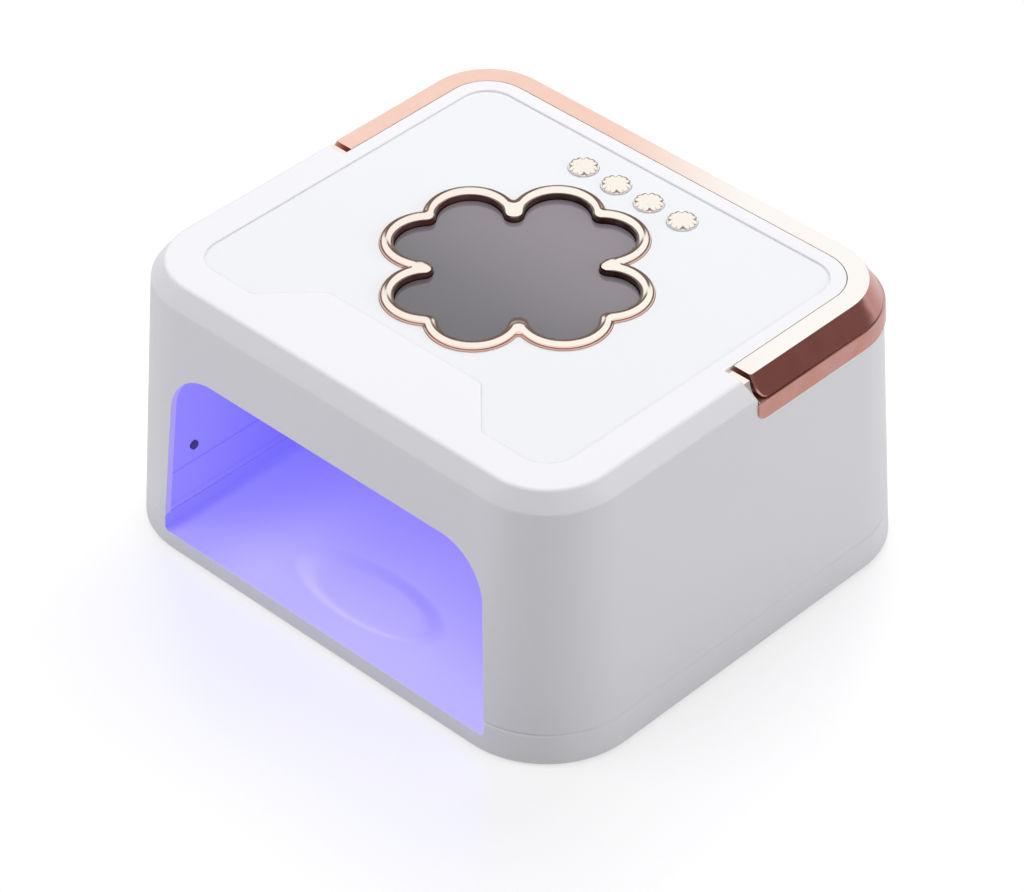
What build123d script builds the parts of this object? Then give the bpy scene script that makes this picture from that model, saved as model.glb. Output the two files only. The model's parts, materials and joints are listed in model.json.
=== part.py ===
"""Nail curing lamp: a white case with a hand chamber, a clover display and a swing-up carry handle.

Millimetres. +Z is up, the hand opening faces -Y, and the origin is the middle of the footprint on
the table. Every node is one physical piece, or one set of alike pieces in the same body.
"""
import os
from math import atan2, degrees, radians, sqrt, tan

from build123d import *

# Overall body
base_width = 220.0
base_depth = 197.4
base_corner_r = 36.4
draft_deg = 3.8
draft = tan(radians(draft_deg))
top_z = 110.0
shoulder_drop = 6.8
shoulder_inset = 5.2
edge_round = 2.0
wall = 2.6
fit_gap = 0.1
moving_gap = 0.3

# Base tray
foot_stand = 1.0
foot_r = 8.0
foot_pad_t = 2.2
foot_in_x = 17.0
foot_in_y = 28.7
tray_top_z = 13.0
tray_floor_z = 7.0
tray_skin = 2.5
edge_break = 0.6
cove_r = 1.5
dish_width = 70.0
dish_depth = 30.0
dish_sink = 2.0
dish_in_y = 25.2

# Hand opening and chamber
arch_side = 31.0
arch_headroom = 30.2
arch_corner_r = 20.0
chamber_behind = 34.7
chamber_plan_r = 22.0
liner_lip = 0.8
liner_t = 1.8
liner_seam_z = 29.5
seam_width = 0.8
seam_depth = 0.7

# Bottom cover, case screws and the magnets that hold the tray
cover_gap = 0.4
cover_t = 2.0
case_boss_r = 4.0
case_boss_h = 24.6
case_boss_in = 7.0
magnet_side = 8.0
magnet_t = 2.4
plate_t = 1.5
magnet_in_x = 17.0
magnet_in_y = 52.7

# Deck, recessed top panel and its trapezoid notch
deck_t = 1.2
ledge_t = 1.6
panel_t = 2.1
panel_sink = 0.5
rim_side = 13.4
rim_front = 13.6
panel_corner_r = 11.3
notch_half_back = 36.2
notch_spread = 18.2
notch_depth = 18.5
notch_r = 4.0
groove_bevel = 0.6

# Clover display
clover_gap = 9.95
lobe_share = 0.347
lobe_near_share = 0.212
outer_notch_r = 1.2
inner_notch_r = 3.4
bezel_w = 5.0
bezel_stand = 1.5
bezel_round = 1.2
lens_t = 2.0
display_x = 50.0
display_y = 20.0
window_room = 1.0

# Buttons and their switches
button_count = 4
button_pitch = 15.6
button_in_y = 14.1
button_r = 5.3
scallop_count = 10
scallop_r = 2.1
button_stand = 0.9
button_flange_r = 6.0
button_flange_t = 0.9
button_flange_gap = 0.2
button_stem_side = 3.6
button_hole_gap = 0.35
button_well_r = 6.6
button_travel = 0.7
plunger_side = 3.2
plunger_h = 5.0
switch_side = 6.0
switch_h = 3.5
switch_well = 1.4

# Control board
board_t = 1.6
board_boss_h = 7.6
board_boss_r = 3.0
board_boss_in = 5.0
board_half_x = 40.0
board_front = 34.0
board_behind_buttons = 15.0

# Lamp board and lamps
lamp_post_h = 1.6
lamp_post_r = 2.5
lamp_board_over_x = 8.3
lamp_board_in_front = 9.7
lamp_board_in_rear = 18.0
lamp_r = 2.4
lamp_bevel = 1.2
lamp_drop = 3.2
lamp_columns = 4
lamp_rows = 5
lamp_in_side = 14.6
lamp_in_front = 3.0
lamp_in_rear = 12.0

# Hand sensors
sensor_in_y = 15.7
sensor_z = 37.0
sensor_r = 1.8
sensor_len = 4.0
sensor_lip = 0.6
sensor_board_side = 12.0
sensor_board_t = 1.2

# Battery
cell_r = 9.2
cell_len = 65.0
cell_space = 3.0
cell_room = 0.3
holder_back_t = 2.0
holder_shelf_t = 1.8
holder_shelf_y = 14.0
holder_above_inlet = 5.0
holder_end_t = 2.0

# Power board and inlet
rib_h = 2.0
rib_t = 2.0
rib_x = 24.0
power_half_x = 30.0
power_in_rear = 5.5
power_len = 24.0
inlet_half_x = 4.5
inlet_h = 11.0
inlet_len = 14.4
inlet_lip = 0.6
inlet_bore_r = 3.2
inlet_pin_r = 1.05
inlet_bore_depth = 9.5
inlet_wall_r = 4.6

# Rear vents
vent_count = 9
vent_pitch = 8.0
vent_w = 2.4
vent_h = 9.0
vent_below_top = 26.0

# Carry handle and its fixed trim
handle_front_y = 10.0
handle_w = 7.5
handle_h = 8.7
trim_band_h = 8.0
trim_lead = 2.0
trim_end_r = 4.5
trim_proud = 0.6
trim_sunk = 1.4
trim_shelf_t = 2.0
stub_lead = 4.3
stub_drop = 1.2
rebate_gap = 0.3
pivot_back = 4.4
pivot_pin_r = 1.6
pivot_clear = 0.05
pin_in_leg = 4.0
bush_r = 2.6
clip_r = 2.6
clip_room = 0.4
clip_t = 0.6
clip_gap = 0.2

# Screws
screw_r = 1.2
screw_head_r = 2.4
screw_head_h = 1.5
screw_grip = 5.0
post_screw_grip = 3.0
screw_sides = 8

# Derived places
shoulder_z = top_z - shoulder_drop
shoulder_half_x = base_width / 2 - draft * shoulder_z
top_half_x = shoulder_half_x - shoulder_inset
top_half_y = base_depth / 2 - draft * shoulder_z - shoulder_inset
top_corner_r = base_corner_r - draft * shoulder_z - shoulder_inset
foot_x = base_width / 2 - foot_in_x
foot_y = base_depth / 2 - foot_in_y
dish_y = dish_in_y - base_depth / 2
arch_half = base_width / 2 - arch_side
arch_top_z = top_z - arch_headroom
chamber_rear_y = base_depth / 2 - chamber_behind
liner_back_y = chamber_rear_y + liner_lip + liner_t
cover_z = tray_top_z + cover_gap
cover_top_z = cover_z + cover_t
case_head_z = cover_z + screw_head_h - moving_gap
case_boss_in_plan = (base_corner_r - case_boss_in) / sqrt(2)
case_boss_x = base_width / 2 - base_corner_r + case_boss_in_plan
case_boss_y = base_depth / 2 - base_corner_r + case_boss_in_plan
magnet_x = base_width / 2 - magnet_in_x
magnet_y = base_depth / 2 - magnet_in_y
panel_top_z = top_z - panel_sink
pocket_z = panel_top_z - panel_t
ledge_z = pocket_z - ledge_t
deck_z = ledge_z - deck_t
panel_half_x = top_half_x - rim_side
panel_half_y = top_half_y - rim_front
notch_half_front = notch_half_back + notch_spread
notch_y = notch_depth - panel_half_y
bezel_top_z = top_z + bezel_stand
window_x = display_x / 2 + window_room
window_y = display_y / 2 + window_room
button_y = panel_half_y - button_in_y
clover_reach = button_y - clover_gap
lobe_r = clover_reach * lobe_share
lobe_far = clover_reach - lobe_r
lobe_near = clover_reach * lobe_near_share
inner_lobe_r = lobe_r - bezel_w
ledge_half = clover_reach + fit_gap
button_top_z = top_z + button_stand
button_skirt_z = pocket_z - button_flange_gap
board_top_z = deck_z - board_boss_h
board_z = board_top_z - board_t
board_y0 = -board_front
board_y1 = button_y + board_behind_buttons
plunger_top_z = board_top_z + plunger_h
liner_roof_z = arch_top_z + liner_lip + liner_t
lamp_board_z = liner_roof_z + lamp_post_h
lamp_tip_z = arch_top_z - lamp_drop
lamp_board_y0 = lamp_board_in_front - base_depth / 2
lamp_board_y1 = chamber_rear_y - lamp_board_in_rear
lamp_board_half_x = arch_half - draft * arch_top_z - arch_corner_r + lamp_board_over_x
lamp_x0 = lamp_in_side - lamp_board_half_x
lamp_y0 = lamp_board_y0 + lamp_in_front
lamp_pitch_x = -2 * lamp_x0 / (lamp_columns - 1)
lamp_pitch_y = (lamp_board_y1 - lamp_in_rear - lamp_y0) / (lamp_rows - 1)
sensor_y = sensor_in_y - base_depth / 2
sensor_in_x = arch_half - draft * sensor_z + liner_lip - sensor_lip
power_board_z = cover_top_z + rib_h
power_y1 = base_depth / 2 - power_in_rear
power_y0 = power_y1 - power_len
inlet_z = power_board_z + board_t
inlet_axis_z = inlet_z + inlet_h / 2
inlet_mouth_y = power_y1 + inlet_lip
cell_row = 2 * cell_r + cell_room + holder_shelf_t
holder_low_z = inlet_z + inlet_h + holder_above_inlet
holder_half = cell_len + cell_space / 2 + cell_room
vent_z = top_z - vent_below_top
handle_bottom_z = top_z - handle_h
trim_top_z = handle_bottom_z - moving_gap
trim_low_z = trim_top_z - trim_band_h
trim_shelf_z = trim_top_z - trim_shelf_t
trim_front_y = handle_front_y - trim_lead
stub_front_y = handle_front_y - stub_lead
stub_top_z = top_z - stub_drop
pivot_z = (handle_bottom_z + top_z) / 2
pivot_y = handle_front_y + pivot_back
leg_inner_x = top_half_x - handle_w
rebate_x = leg_inner_x - rebate_gap
rebate_y = top_half_y - handle_w - rebate_gap
rebate_r = top_corner_r - handle_w - rebate_gap
rebate_inside_x = rebate_x - wall
pin_end_x = rebate_inside_x - clip_gap - clip_t - clip_room
stub_arc_r = sqrt(pivot_back ** 2 + (handle_h / 2) ** 2) + moving_gap
far = 2 * base_width
corner_signs = [(-1, -1), (1, -1), (-1, 1), (1, 1)]


def corners(x, y):
    """The same place in all four quarters of the plan."""
    return [(sx * x, sy * y) for sx, sy in corner_signs]


def button_places():
    first = -(button_count - 1) / 2 * button_pitch
    return [(first + i * button_pitch, button_y) for i in range(button_count)]


def board_places():
    inset = board_boss_in
    return [(sx * (board_half_x - inset), y) for sx in (-1, 1) for y in (board_y0 + inset, board_y1 - inset)]


def lamp_places():
    columns = [lamp_x0 + i * lamp_pitch_x for i in range(lamp_columns)]
    rows = [lamp_y0 + i * lamp_pitch_y for i in range(lamp_rows)]
    return [(x, y) for x in columns for y in rows]


def lamp_board_places():
    """The lamp board's screws, midway between lamp rows and near its side edges."""
    x = lamp_board_half_x - board_boss_in
    front = lamp_y0 + lamp_pitch_y / 2
    return [(sx * x, y) for sx in (-1, 1) for y in (front, lamp_board_y1 - board_boss_in)]


def slab(x0, x1, y0, y1, z0, z1):
    """A plain block between two corners."""
    with BuildPart() as block:
        with Locations(((x0 + x1) / 2, (y0 + y1) / 2, (z0 + z1) / 2)):
            Box(x1 - x0, y1 - y0, z1 - z0)
    return block.part


def rods(places, radius, z0, z1):
    """Upright cylinders at plan places."""
    with BuildPart() as group:
        with BuildSketch(Plane.XY.offset(z0)):
            with Locations(*places):
                Circle(radius)
        extrude(amount=z1 - z0)
    return group.part


def prisms(places, radius, z0, z1, sides=screw_sides):
    """Upright rods with flats at plan places; radius runs to the middle of a flat."""
    with BuildPart() as group:
        with BuildSketch(Plane.XY.offset(z0)):
            with Locations(*places):
                RegularPolygon(radius, sides, major_radius=False)
        extrude(amount=z1 - z0)
    return group.part


def blocks(places, side, z0, z1):
    """Upright square blocks at plan places."""
    with BuildPart() as group:
        with BuildSketch(Plane.XY.offset(z0)):
            with Locations(*places):
                Rectangle(side, side)
        extrude(amount=z1 - z0)
    return group.part


def side_rods(x0, x1, y, z, radius):
    """A cylinder along X on each side, from x0 to x1."""
    with BuildPart() as group:
        with BuildSketch(Plane.YZ.offset(x0)):
            with Locations((y, z)):
                Circle(radius)
        extrude(amount=x1 - x0)
        mirror(about=Plane.YZ)
    return group.part


def side_prisms(x0, x1, y, z, radius):
    """As side_rods, with flats; radius runs to the middle of a flat."""
    with BuildPart() as group:
        with BuildSketch(Plane.YZ.offset(x0)):
            with Locations((y, z)):
                RegularPolygon(radius, screw_sides, major_radius=False)
        extrude(amount=x1 - x0)
        mirror(about=Plane.YZ)
    return group.part


def screws(places, head_z, up, grip):
    """Screws: head_z is the face under the head, and the shank runs up or down from it."""
    way = 1 if up else -1
    with BuildPart() as group:
        add(prisms(places, screw_head_r, head_z, head_z - way * screw_head_h))
        add(prisms(places, screw_r, head_z, head_z + way * grip))
    return group.part


def tapered(z0, z1, grow=0.0):
    """The case's outline at z0 raised to z1 with the walls' draft, all grown outwards."""
    inset = draft * z0 - grow
    with BuildPart() as block:
        with BuildSketch(Plane.XY.offset(z0)):
            RectangleRounded(base_width - 2 * inset, base_depth - 2 * inset, base_corner_r - inset)
        extrude(amount=z1 - z0, taper=draft_deg)
    return block.part


def plan_block(half_x, half_y, radius, z0, z1):
    """An upright block with a rounded plan."""
    with BuildPart() as block:
        with BuildSketch(Plane.XY.offset(z0)):
            RectangleRounded(2 * half_x, 2 * half_y, radius)
        extrude(amount=z1 - z0)
    return block.part


def edge_slope(z0, wide):
    """The sloping edge round the top, from wide outside the top's outline at z0 up to the top."""
    with BuildPart() as block:
        with BuildSketch(Plane.XY.offset(z0)):
            RectangleRounded(2 * (top_half_x + wide), 2 * (top_half_y + wide), top_corner_r + wide)
        extrude(amount=top_z - z0, taper=degrees(atan2(wide, top_z - z0)))
    return block.part


def arch_space(grow, z0, y0, y1):
    """The hand opening's leaning arch with a rounded rear, grown all round."""
    top = arch_top_z + grow
    low_half = arch_half - draft * z0 + grow
    top_half = arch_half - draft * top + grow
    with BuildPart() as space:
        with BuildSketch(Plane.XZ.offset(-y1)) as arch:
            with BuildLine():
                Polyline((-low_half, z0), (low_half, z0), (top_half, top), (-top_half, top), close=True)
            make_face()
            fillet(arch.vertices().group_by(Axis.Y)[-1], arch_corner_r + grow)
        extrude(amount=y1 - y0)
        with BuildSketch(Plane.XY.offset(z0)):
            with Locations((0, (y0 + y1) / 2 - chamber_plan_r)):
                RectangleRounded(2 * low_half, y1 - y0 + 2 * chamber_plan_r, chamber_plan_r + grow)
        extrude(amount=top - z0, mode=Mode.INTERSECT)
    return space.part


def clover_face(lobe, notch):
    """The eight-lobed clover outline: lobes of one radius joined by soft notches of another."""
    lobes = [(sx * lobe_far, sy * lobe_near) for sx, sy in corner_signs]
    lobes += [(sx * lobe_near, sy * lobe_far) for sx, sy in corner_signs]
    with BuildSketch() as face:
        with Locations(*lobes):
            Circle(lobe + notch)
        Rectangle(2 * lobe_far, 2 * lobe_near)
        Rectangle(2 * lobe_near, 2 * lobe_far)
        Rectangle(lobe_far + lobe_near, lobe_far + lobe_near)
        offset(amount=-notch, kind=Kind.ARC)
    return face.sketch


def clover_block(lobe, notch, z0, z1):
    with BuildPart() as block:
        with BuildSketch(Plane.XY.offset(z0)):
            add(clover_face(lobe, notch))
        extrude(amount=z1 - z0)
    return block.part


def panel_block(shrink, z0, z1):
    """The top panel's outline with the notch in its front edge."""
    with BuildPart() as block:
        with BuildSketch(Plane.XY.offset(z0)) as outline:
            RectangleRounded(2 * panel_half_x, 2 * panel_half_y, panel_corner_r)
            with BuildLine():
                Polyline(
                    (-notch_half_front, -panel_half_y),
                    (-notch_half_back, notch_y),
                    (notch_half_back, notch_y),
                    (notch_half_front, -panel_half_y),
                    close=True,
                )
            make_face(mode=Mode.SUBTRACT)
            fillet([v for v in outline.vertices() if abs(v.X) < notch_half_front + wall], notch_r)
            if shrink:
                offset(amount=-shrink, kind=Kind.ARC)
        extrude(amount=z1 - z0)
    return block.part


def level_edges(builder, z):
    """A block's edges that lie at one height."""
    near = moving_gap / 10
    return builder.edges().filter_by_position(Axis.Z, z - near, z + near)


def outer_case():
    """The case's outside: drafted walls and the softened slope round the top."""
    with BuildPart() as case:
        add(tapered(tray_top_z, shoulder_z))
        add(edge_slope(shoulder_z, shoulder_inset))
        chamfer(case.faces().sort_by(Axis.Z)[0].edges(), edge_break)
        fillet(level_edges(case, shoulder_z) + level_edges(case, top_z), edge_round)
    return case.part


def handle_wall():
    """The solid left in the case under and inside the handle's channel."""
    low = trim_shelf_z - wall
    with BuildPart() as solid:
        add(slab(-far, far, stub_front_y - wall, far, low, deck_z))
        add(plan_block(rebate_inside_x, rebate_y - wall, rebate_r - wall, low, deck_z), mode=Mode.SUBTRACT)
    return solid.part


def case_cavity():
    """The hollow of the case, less its screw bosses and the wall behind the handle."""
    boss_top = cover_top_z + case_boss_h
    with BuildPart() as hollow:
        add(tapered(tray_top_z - 1, deck_z, -wall))
        add(handle_wall(), mode=Mode.SUBTRACT)
        add(prisms(corners(case_boss_x, case_boss_y), case_boss_r, cover_top_z, boss_top), mode=Mode.SUBTRACT)
        add(prisms(board_places(), board_boss_r, board_top_z, deck_z), mode=Mode.SUBTRACT)
    return hollow.part


def handle_channel():
    """The space above the trim's shelf, outside the handle's inner wall."""
    with BuildPart() as ring:
        add(slab(-far, far, trim_front_y, far, trim_shelf_z, 2 * top_z))
        add(plan_block(rebate_x, rebate_y, rebate_r, trim_shelf_z, 2 * top_z), mode=Mode.SUBTRACT)
    return ring.part


def trim_side_view():
    """The band's side view, rounded at its lower front corner, drawn out across the case."""
    with BuildPart() as block:
        with BuildSketch(Plane.YZ.offset(-far)) as view:
            with Locations((trim_front_y, trim_low_z)):
                Rectangle(base_depth, trim_band_h, align=(Align.MIN, Align.MIN))
            fillet(view.vertices().sort_by(Axis.Y)[:2].sort_by(Axis.X)[:1], trim_end_r)
        extrude(amount=2 * far)
    return block.part


def trim_space(grow=0.0):
    """The room that the trim fills: a band set in the wall and a shelf under the handle."""
    with BuildPart() as space:
        add(tapered(trim_low_z, trim_top_z, trim_proud + grow))
        add(tapered(trim_low_z, trim_shelf_z, -trim_sunk), mode=Mode.SUBTRACT)
        add(trim_side_view(), mode=Mode.INTERSECT)
        add(plan_block(rebate_x, rebate_y, rebate_r, 0, top_z), mode=Mode.SUBTRACT)
    return space.part


def stub_side_view(top):
    """A front stub's side view: its slanting front edge, up to the given height."""
    return [
        (trim_front_y, trim_shelf_z),
        (trim_front_y + 1, trim_top_z),
        (stub_front_y, stub_top_z),
        (stub_front_y, top),
        (pivot_y, top),
        (pivot_y, trim_shelf_z),
    ]


def stub_notch():
    """The cut in the case's edge that takes a front stub."""
    with BuildPart() as cut:
        with BuildSketch(Plane.YZ.offset(rebate_x)):
            with BuildLine():
                Polyline(*stub_side_view(2 * top_z), close=True)
            make_face()
        extrude(amount=base_width / 2)
        mirror(about=Plane.YZ)
    return cut.part


def stubs():
    """The trim's front stubs, hollowed round the pivot and cut to the case's edge and walls."""
    with BuildPart() as group:
        with BuildSketch(Plane.YZ.offset(rebate_x)):
            with BuildLine():
                Polyline(*stub_side_view(stub_top_z + fit_gap / 100), close=True)
            make_face()
            with Locations((pivot_y, pivot_z)):
                Circle(stub_arc_r, mode=Mode.SUBTRACT)
        extrude(amount=base_width / 2)
        mirror(about=Plane.YZ)
        add(handle_shell(trim_shelf_z, 0.0), mode=Mode.INTERSECT)
        add(tapered(trim_shelf_z, top_z), mode=Mode.INTERSECT)
    return group.part


def handle_shell(z0, front_y):
    """The handle's outer form: the sloping edge carried down to the wall, behind front_y."""
    slope = (base_width / 2 - draft * handle_bottom_z - top_half_x) / handle_h
    with BuildPart() as shell:
        add(edge_slope(z0, slope * (top_z - z0)))
        add(slab(-far, far, -far, front_y, 0, 2 * top_z), mode=Mode.SUBTRACT)
    return shell.part


def make_tray():
    """Base tray: a skirt, a raised rim and a sunk floor with a shallow dish for the hand."""
    magnet_z = tray_top_z - magnet_t
    magnet_plan = corners(magnet_x, magnet_y)
    with BuildPart() as tray:
        add(tapered(foot_stand, tray_top_z))
        chamfer(tray.faces().sort_by(Axis.Z)[-1].edges(), edge_break)
        add(floor_space(), mode=Mode.SUBTRACT)
        add(tray_hollow(), mode=Mode.SUBTRACT)
        add(prisms(corners(foot_x, foot_y), foot_r + tray_skin, foot_stand, tray_top_z - edge_break))
        add(rods(corners(foot_x, foot_y), foot_r + fit_gap, 0, foot_pad_t), mode=Mode.SUBTRACT)
        add(blocks(magnet_plan, magnet_side + tray_skin, magnet_z - 1, tray_top_z - edge_break))
        add(blocks(magnet_plan, magnet_side, magnet_z, tray_top_z), mode=Mode.SUBTRACT)
        with BuildSketch(Plane.XY.offset(tray_floor_z)):
            with Locations((0, dish_y)):
                Ellipse(dish_width / 2, dish_depth / 2)
        extrude(amount=-dish_sink, mode=Mode.SUBTRACT)
    return tray.part


def floor_space():
    """The cut that sinks the floor, with a cove that rises to the foot of the arch's walls."""
    half_x = arch_half - draft * tray_top_z
    half_y = base_depth
    with BuildPart() as space:
        with Locations((0, chamber_rear_y - half_y)):
            add(plan_block(half_x, half_y, chamber_plan_r, tray_floor_z, 2 * tray_top_z))
        fillet(space.faces().sort_by(Axis.Z)[0].edges(), cove_r)
    return space.part


def tray_hollow():
    """The space under the tray's skin, shallower under the sunk floor."""
    half = arch_half + tray_skin
    low = tray_floor_z - tray_skin - dish_sink
    with BuildPart() as hollow:
        add(tapered(foot_stand, tray_top_z - tray_skin, -tray_skin))
        add(slab(-half, half, -base_depth, chamber_rear_y + tray_skin, low, tray_top_z), mode=Mode.SUBTRACT)
    return hollow.part


def make_housing():
    """Case shell: drafted walls, the deck with its pockets, the opening and the handle's channel."""
    row = (button_count - 1) * button_pitch + 2 * button_well_r
    with BuildPart() as shell:
        add(outer_case())
        add(case_cavity(), mode=Mode.SUBTRACT)
        add(arch_space(0.0, tray_top_z - 1, -base_depth, 0), mode=Mode.SUBTRACT)
        add(panel_block(-fit_gap, pocket_z, top_z), mode=Mode.SUBTRACT)
        add(plan_block(ledge_half, ledge_half, lobe_r, ledge_z, top_z), mode=Mode.SUBTRACT)
        add(slab(-window_x, window_x, -window_y, window_y, deck_z - 1, top_z), mode=Mode.SUBTRACT)
        add(
            slab(-row / 2, row / 2, button_y - button_well_r, button_y + button_well_r, deck_z - 1, pocket_z),
            mode=Mode.SUBTRACT,
        )
        add(trim_space(1.0), mode=Mode.SUBTRACT)
        add(handle_channel(), mode=Mode.SUBTRACT)
        add(stub_notch(), mode=Mode.SUBTRACT)
        add(screw_holes(), mode=Mode.SUBTRACT)
        add(rear_openings(), mode=Mode.SUBTRACT)
        add(side_prisms(rebate_inside_x - 1, rebate_x + 1, pivot_y, pivot_z, bush_r), mode=Mode.SUBTRACT)
        add(clip_pocket(), mode=Mode.SUBTRACT)
    return shell.part


def clip_pocket():
    """Room under the deck for the pivot pins' inner ends and their clips."""
    room = clip_r + clip_room
    inner = pin_end_x - clip_room
    with BuildPart() as pocket:
        add(slab(inner, rebate_inside_x, pivot_y - room, pivot_y + room, deck_z - 1, pivot_z + room))
        mirror(about=Plane.YZ)
    return pocket.part


def screw_holes():
    """Pilot holes in the case's own bosses."""
    case_deep = case_head_z + screw_grip + 1
    board_deep = board_z + screw_grip + fit_gap
    with BuildPart() as holes:
        add(prisms(corners(case_boss_x, case_boss_y), screw_r, cover_top_z - 1, case_deep))
        add(prisms(board_places(), screw_r, board_top_z - 1, board_deep))
    return holes.part


def rear_openings():
    """The inlet's hole and a row of vents through the rear wall."""
    first = -(vent_count - 1) / 2 * vent_pitch
    with BuildPart() as cuts:
        with BuildSketch(Plane.XZ.offset(-base_depth)):
            with Locations((0, inlet_axis_z)):
                Circle(inlet_wall_r)
            with Locations(*[(first + i * vent_pitch, vent_z) for i in range(vent_count)]):
                Rectangle(vent_w, vent_h)
        extrude(amount=base_depth - power_y1 + wall)
    return cuts.part


def make_cover():
    """Bottom cover: closes the case round the chamber and carries the magnets' plates."""
    screw_plan = corners(case_boss_x, case_boss_y)
    with BuildPart() as cover:
        add(tapered(cover_z, cover_top_z, -wall - fit_gap))
        add(arch_space(0.0, cover_z - 1, -base_depth, chamber_rear_y), mode=Mode.SUBTRACT)
        for x in (-rib_x - rib_t, rib_x):
            add(slab(x, x + rib_t, power_y0, power_y1 - rib_t, cover_top_z, power_board_z))
        add(prisms(screw_plan, screw_r + fit_gap, 0, top_z), mode=Mode.SUBTRACT)
        add(prisms(screw_plan, screw_head_r + fit_gap, 0, case_head_z), mode=Mode.SUBTRACT)
        add(blocks(corners(magnet_x, magnet_y), magnet_side, 0, cover_z + plate_t), mode=Mode.SUBTRACT)
    return cover.part


def liner(z0, z1):
    """A level slice of the chamber's liner, ending against the case's front wall."""
    with BuildPart() as shell:
        add(arch_space(liner_lip + liner_t, cover_top_z, -base_depth, liner_back_y))
        add(tapered(cover_top_z, shoulder_z, -wall), mode=Mode.INTERSECT)
        add(arch_space(liner_lip, cover_top_z - 1, -far, chamber_rear_y + liner_lip), mode=Mode.SUBTRACT)
        add(seam_groove(), mode=Mode.SUBTRACT)
        add(slab(-far, far, -far, far, z0, z1), mode=Mode.INTERSECT)
    return shell.part


def seam_groove():
    """The fine line inside the liner where its two halves meet."""
    grow = liner_lip + seam_depth
    half = seam_width / 2
    with BuildPart() as groove:
        add(arch_space(grow, cover_top_z, -far, chamber_rear_y + grow))
        add(slab(-far, far, -far, far, liner_seam_z - half, liner_seam_z + half), mode=Mode.INTERSECT)
    return groove.part


def make_reflector_dome():
    """Upper liner: the lamps' holes in its roof, the sensors' in its sides, and the board's posts."""
    sensor_hole_r = sensor_r + fit_gap
    with BuildPart() as dome:
        add(liner(liner_seam_z, top_z))
        add(prisms(lamp_places(), lamp_r + fit_gap, lamp_tip_z, liner_roof_z + 1), mode=Mode.SUBTRACT)
        add(side_rods(arch_half / 2, arch_half * 2, sensor_y, sensor_z, sensor_hole_r), mode=Mode.SUBTRACT)
        add(prisms(lamp_board_places(), lamp_post_r, liner_roof_z - liner_t / 2, lamp_board_z))
        add(prisms(lamp_board_places(), screw_r, liner_roof_z, lamp_board_z + 1), mode=Mode.SUBTRACT)
    return dome.part


def board(x0, x1, y0, y1, z0, holes):
    """A circuit board with clearance holes for its screws."""
    with BuildPart() as plate:
        add(slab(x0, x1, y0, y1, z0, z0 + board_t))
        if holes:
            add(prisms(holes, screw_r + fit_gap, z0 - 1, z0 + board_t + 1), mode=Mode.SUBTRACT)
    return plate.part


def make_lamps():
    """Lamps hung from the board: a body with flats and a bevelled tip through the roof."""
    with BuildPart() as lamps:
        add(prisms(lamp_places(), lamp_r, lamp_tip_z, lamp_board_z))
        chamfer(lamps.faces().group_by(Axis.Z)[0].edges(), lamp_bevel)
    return lamps.part


def make_sensor_boards():
    """Small boards behind the sensors, held to the liner."""
    back = sensor_in_x + sensor_len
    half = sensor_board_side / 2
    front = sensor_y - sensor_r * 2
    with BuildPart() as boards:
        add(slab(back, back + sensor_board_t, front, sensor_y + half, sensor_z - half, sensor_z + half))
        mirror(about=Plane.YZ)
    return boards.part


def make_panel():
    """Top panel with the clover opening and the buttons' holes, bevelled into its groove."""
    with BuildPart() as panel:
        add(panel_block(fit_gap, pocket_z, panel_top_z))
        chamfer(panel.faces().sort_by(Axis.Z)[-1].edges(), groove_bevel)
        add(clover_block(lobe_r + fit_gap, outer_notch_r - fit_gap, 0, 2 * top_z), mode=Mode.SUBTRACT)
        add(rods(button_places(), button_r + button_hole_gap, 0, 2 * top_z), mode=Mode.SUBTRACT)
    return panel.part


def make_bezel():
    """Clover frame with eased edges that stands on the deck's ledge round the lens."""
    with BuildPart() as bezel:
        add(clover_block(lobe_r, outer_notch_r, ledge_z, bezel_top_z))
        add(clover_block(inner_lobe_r, inner_notch_r, 0, 2 * top_z), mode=Mode.SUBTRACT)
        chamfer(bezel.faces().sort_by(Axis.Z)[-1].edges(), bezel_round)
    return bezel.part


def make_lens():
    """Smoked window that fits inside the clover frame."""
    return clover_block(inner_lobe_r - fit_gap, inner_notch_r + fit_gap, ledge_z, ledge_z + lens_t)


def make_switches():
    """Switch bodies on the board, each with a well for its plunger."""
    top = board_top_z + switch_h
    well = plunger_side + 2 * button_hole_gap
    with BuildPart() as bodies:
        add(blocks(button_places(), switch_side, board_top_z, top))
        add(blocks(button_places(), well, top - switch_well, top), mode=Mode.SUBTRACT)
    return bodies.part


def make_plunger(place):
    low = board_top_z + switch_h - switch_well + button_travel + moving_gap
    return blocks([place], plunger_side, low, plunger_top_z)


def make_button(place):
    """Flower-edged cap on a round flange and a stem down to its switch."""
    flange_z = button_skirt_z - button_flange_t
    with BuildPart() as cap:
        with BuildSketch(Plane.XY.offset(button_skirt_z)):
            with Locations(place):
                with PolarLocations(button_r - scallop_r, scallop_count):
                    Circle(scallop_r)
                RegularPolygon(button_r - scallop_r, scallop_count)
        extrude(amount=button_top_z - button_skirt_z)
        add(prisms([place], button_flange_r, flange_z, button_skirt_z, scallop_count))
        add(blocks([place], button_stem_side, plunger_top_z, flange_z))
    return cap.part


def make_trim():
    """Fixed handle trim: the band, the shelf under the handle and the two front stubs."""
    with BuildPart() as trim:
        add(trim_space())
        add(stubs())
    return trim.part


def make_handle():
    """Carry handle: a U-shaped strip whose legs are rounded under their pivots."""
    inner_y = top_half_y - handle_w
    inner_r = top_corner_r - handle_w
    with BuildPart() as bail:
        add(handle_shell(handle_bottom_z, handle_front_y))
        add(plan_block(leg_inner_x, inner_y, inner_r, 0, 2 * top_z), mode=Mode.SUBTRACT)
        add(leg_rounding(), mode=Mode.SUBTRACT)
        chamfer(handle_end_edges(bail), edge_break)
        add(pin_rods(0), mode=Mode.SUBTRACT)
    return bail.part


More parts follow.
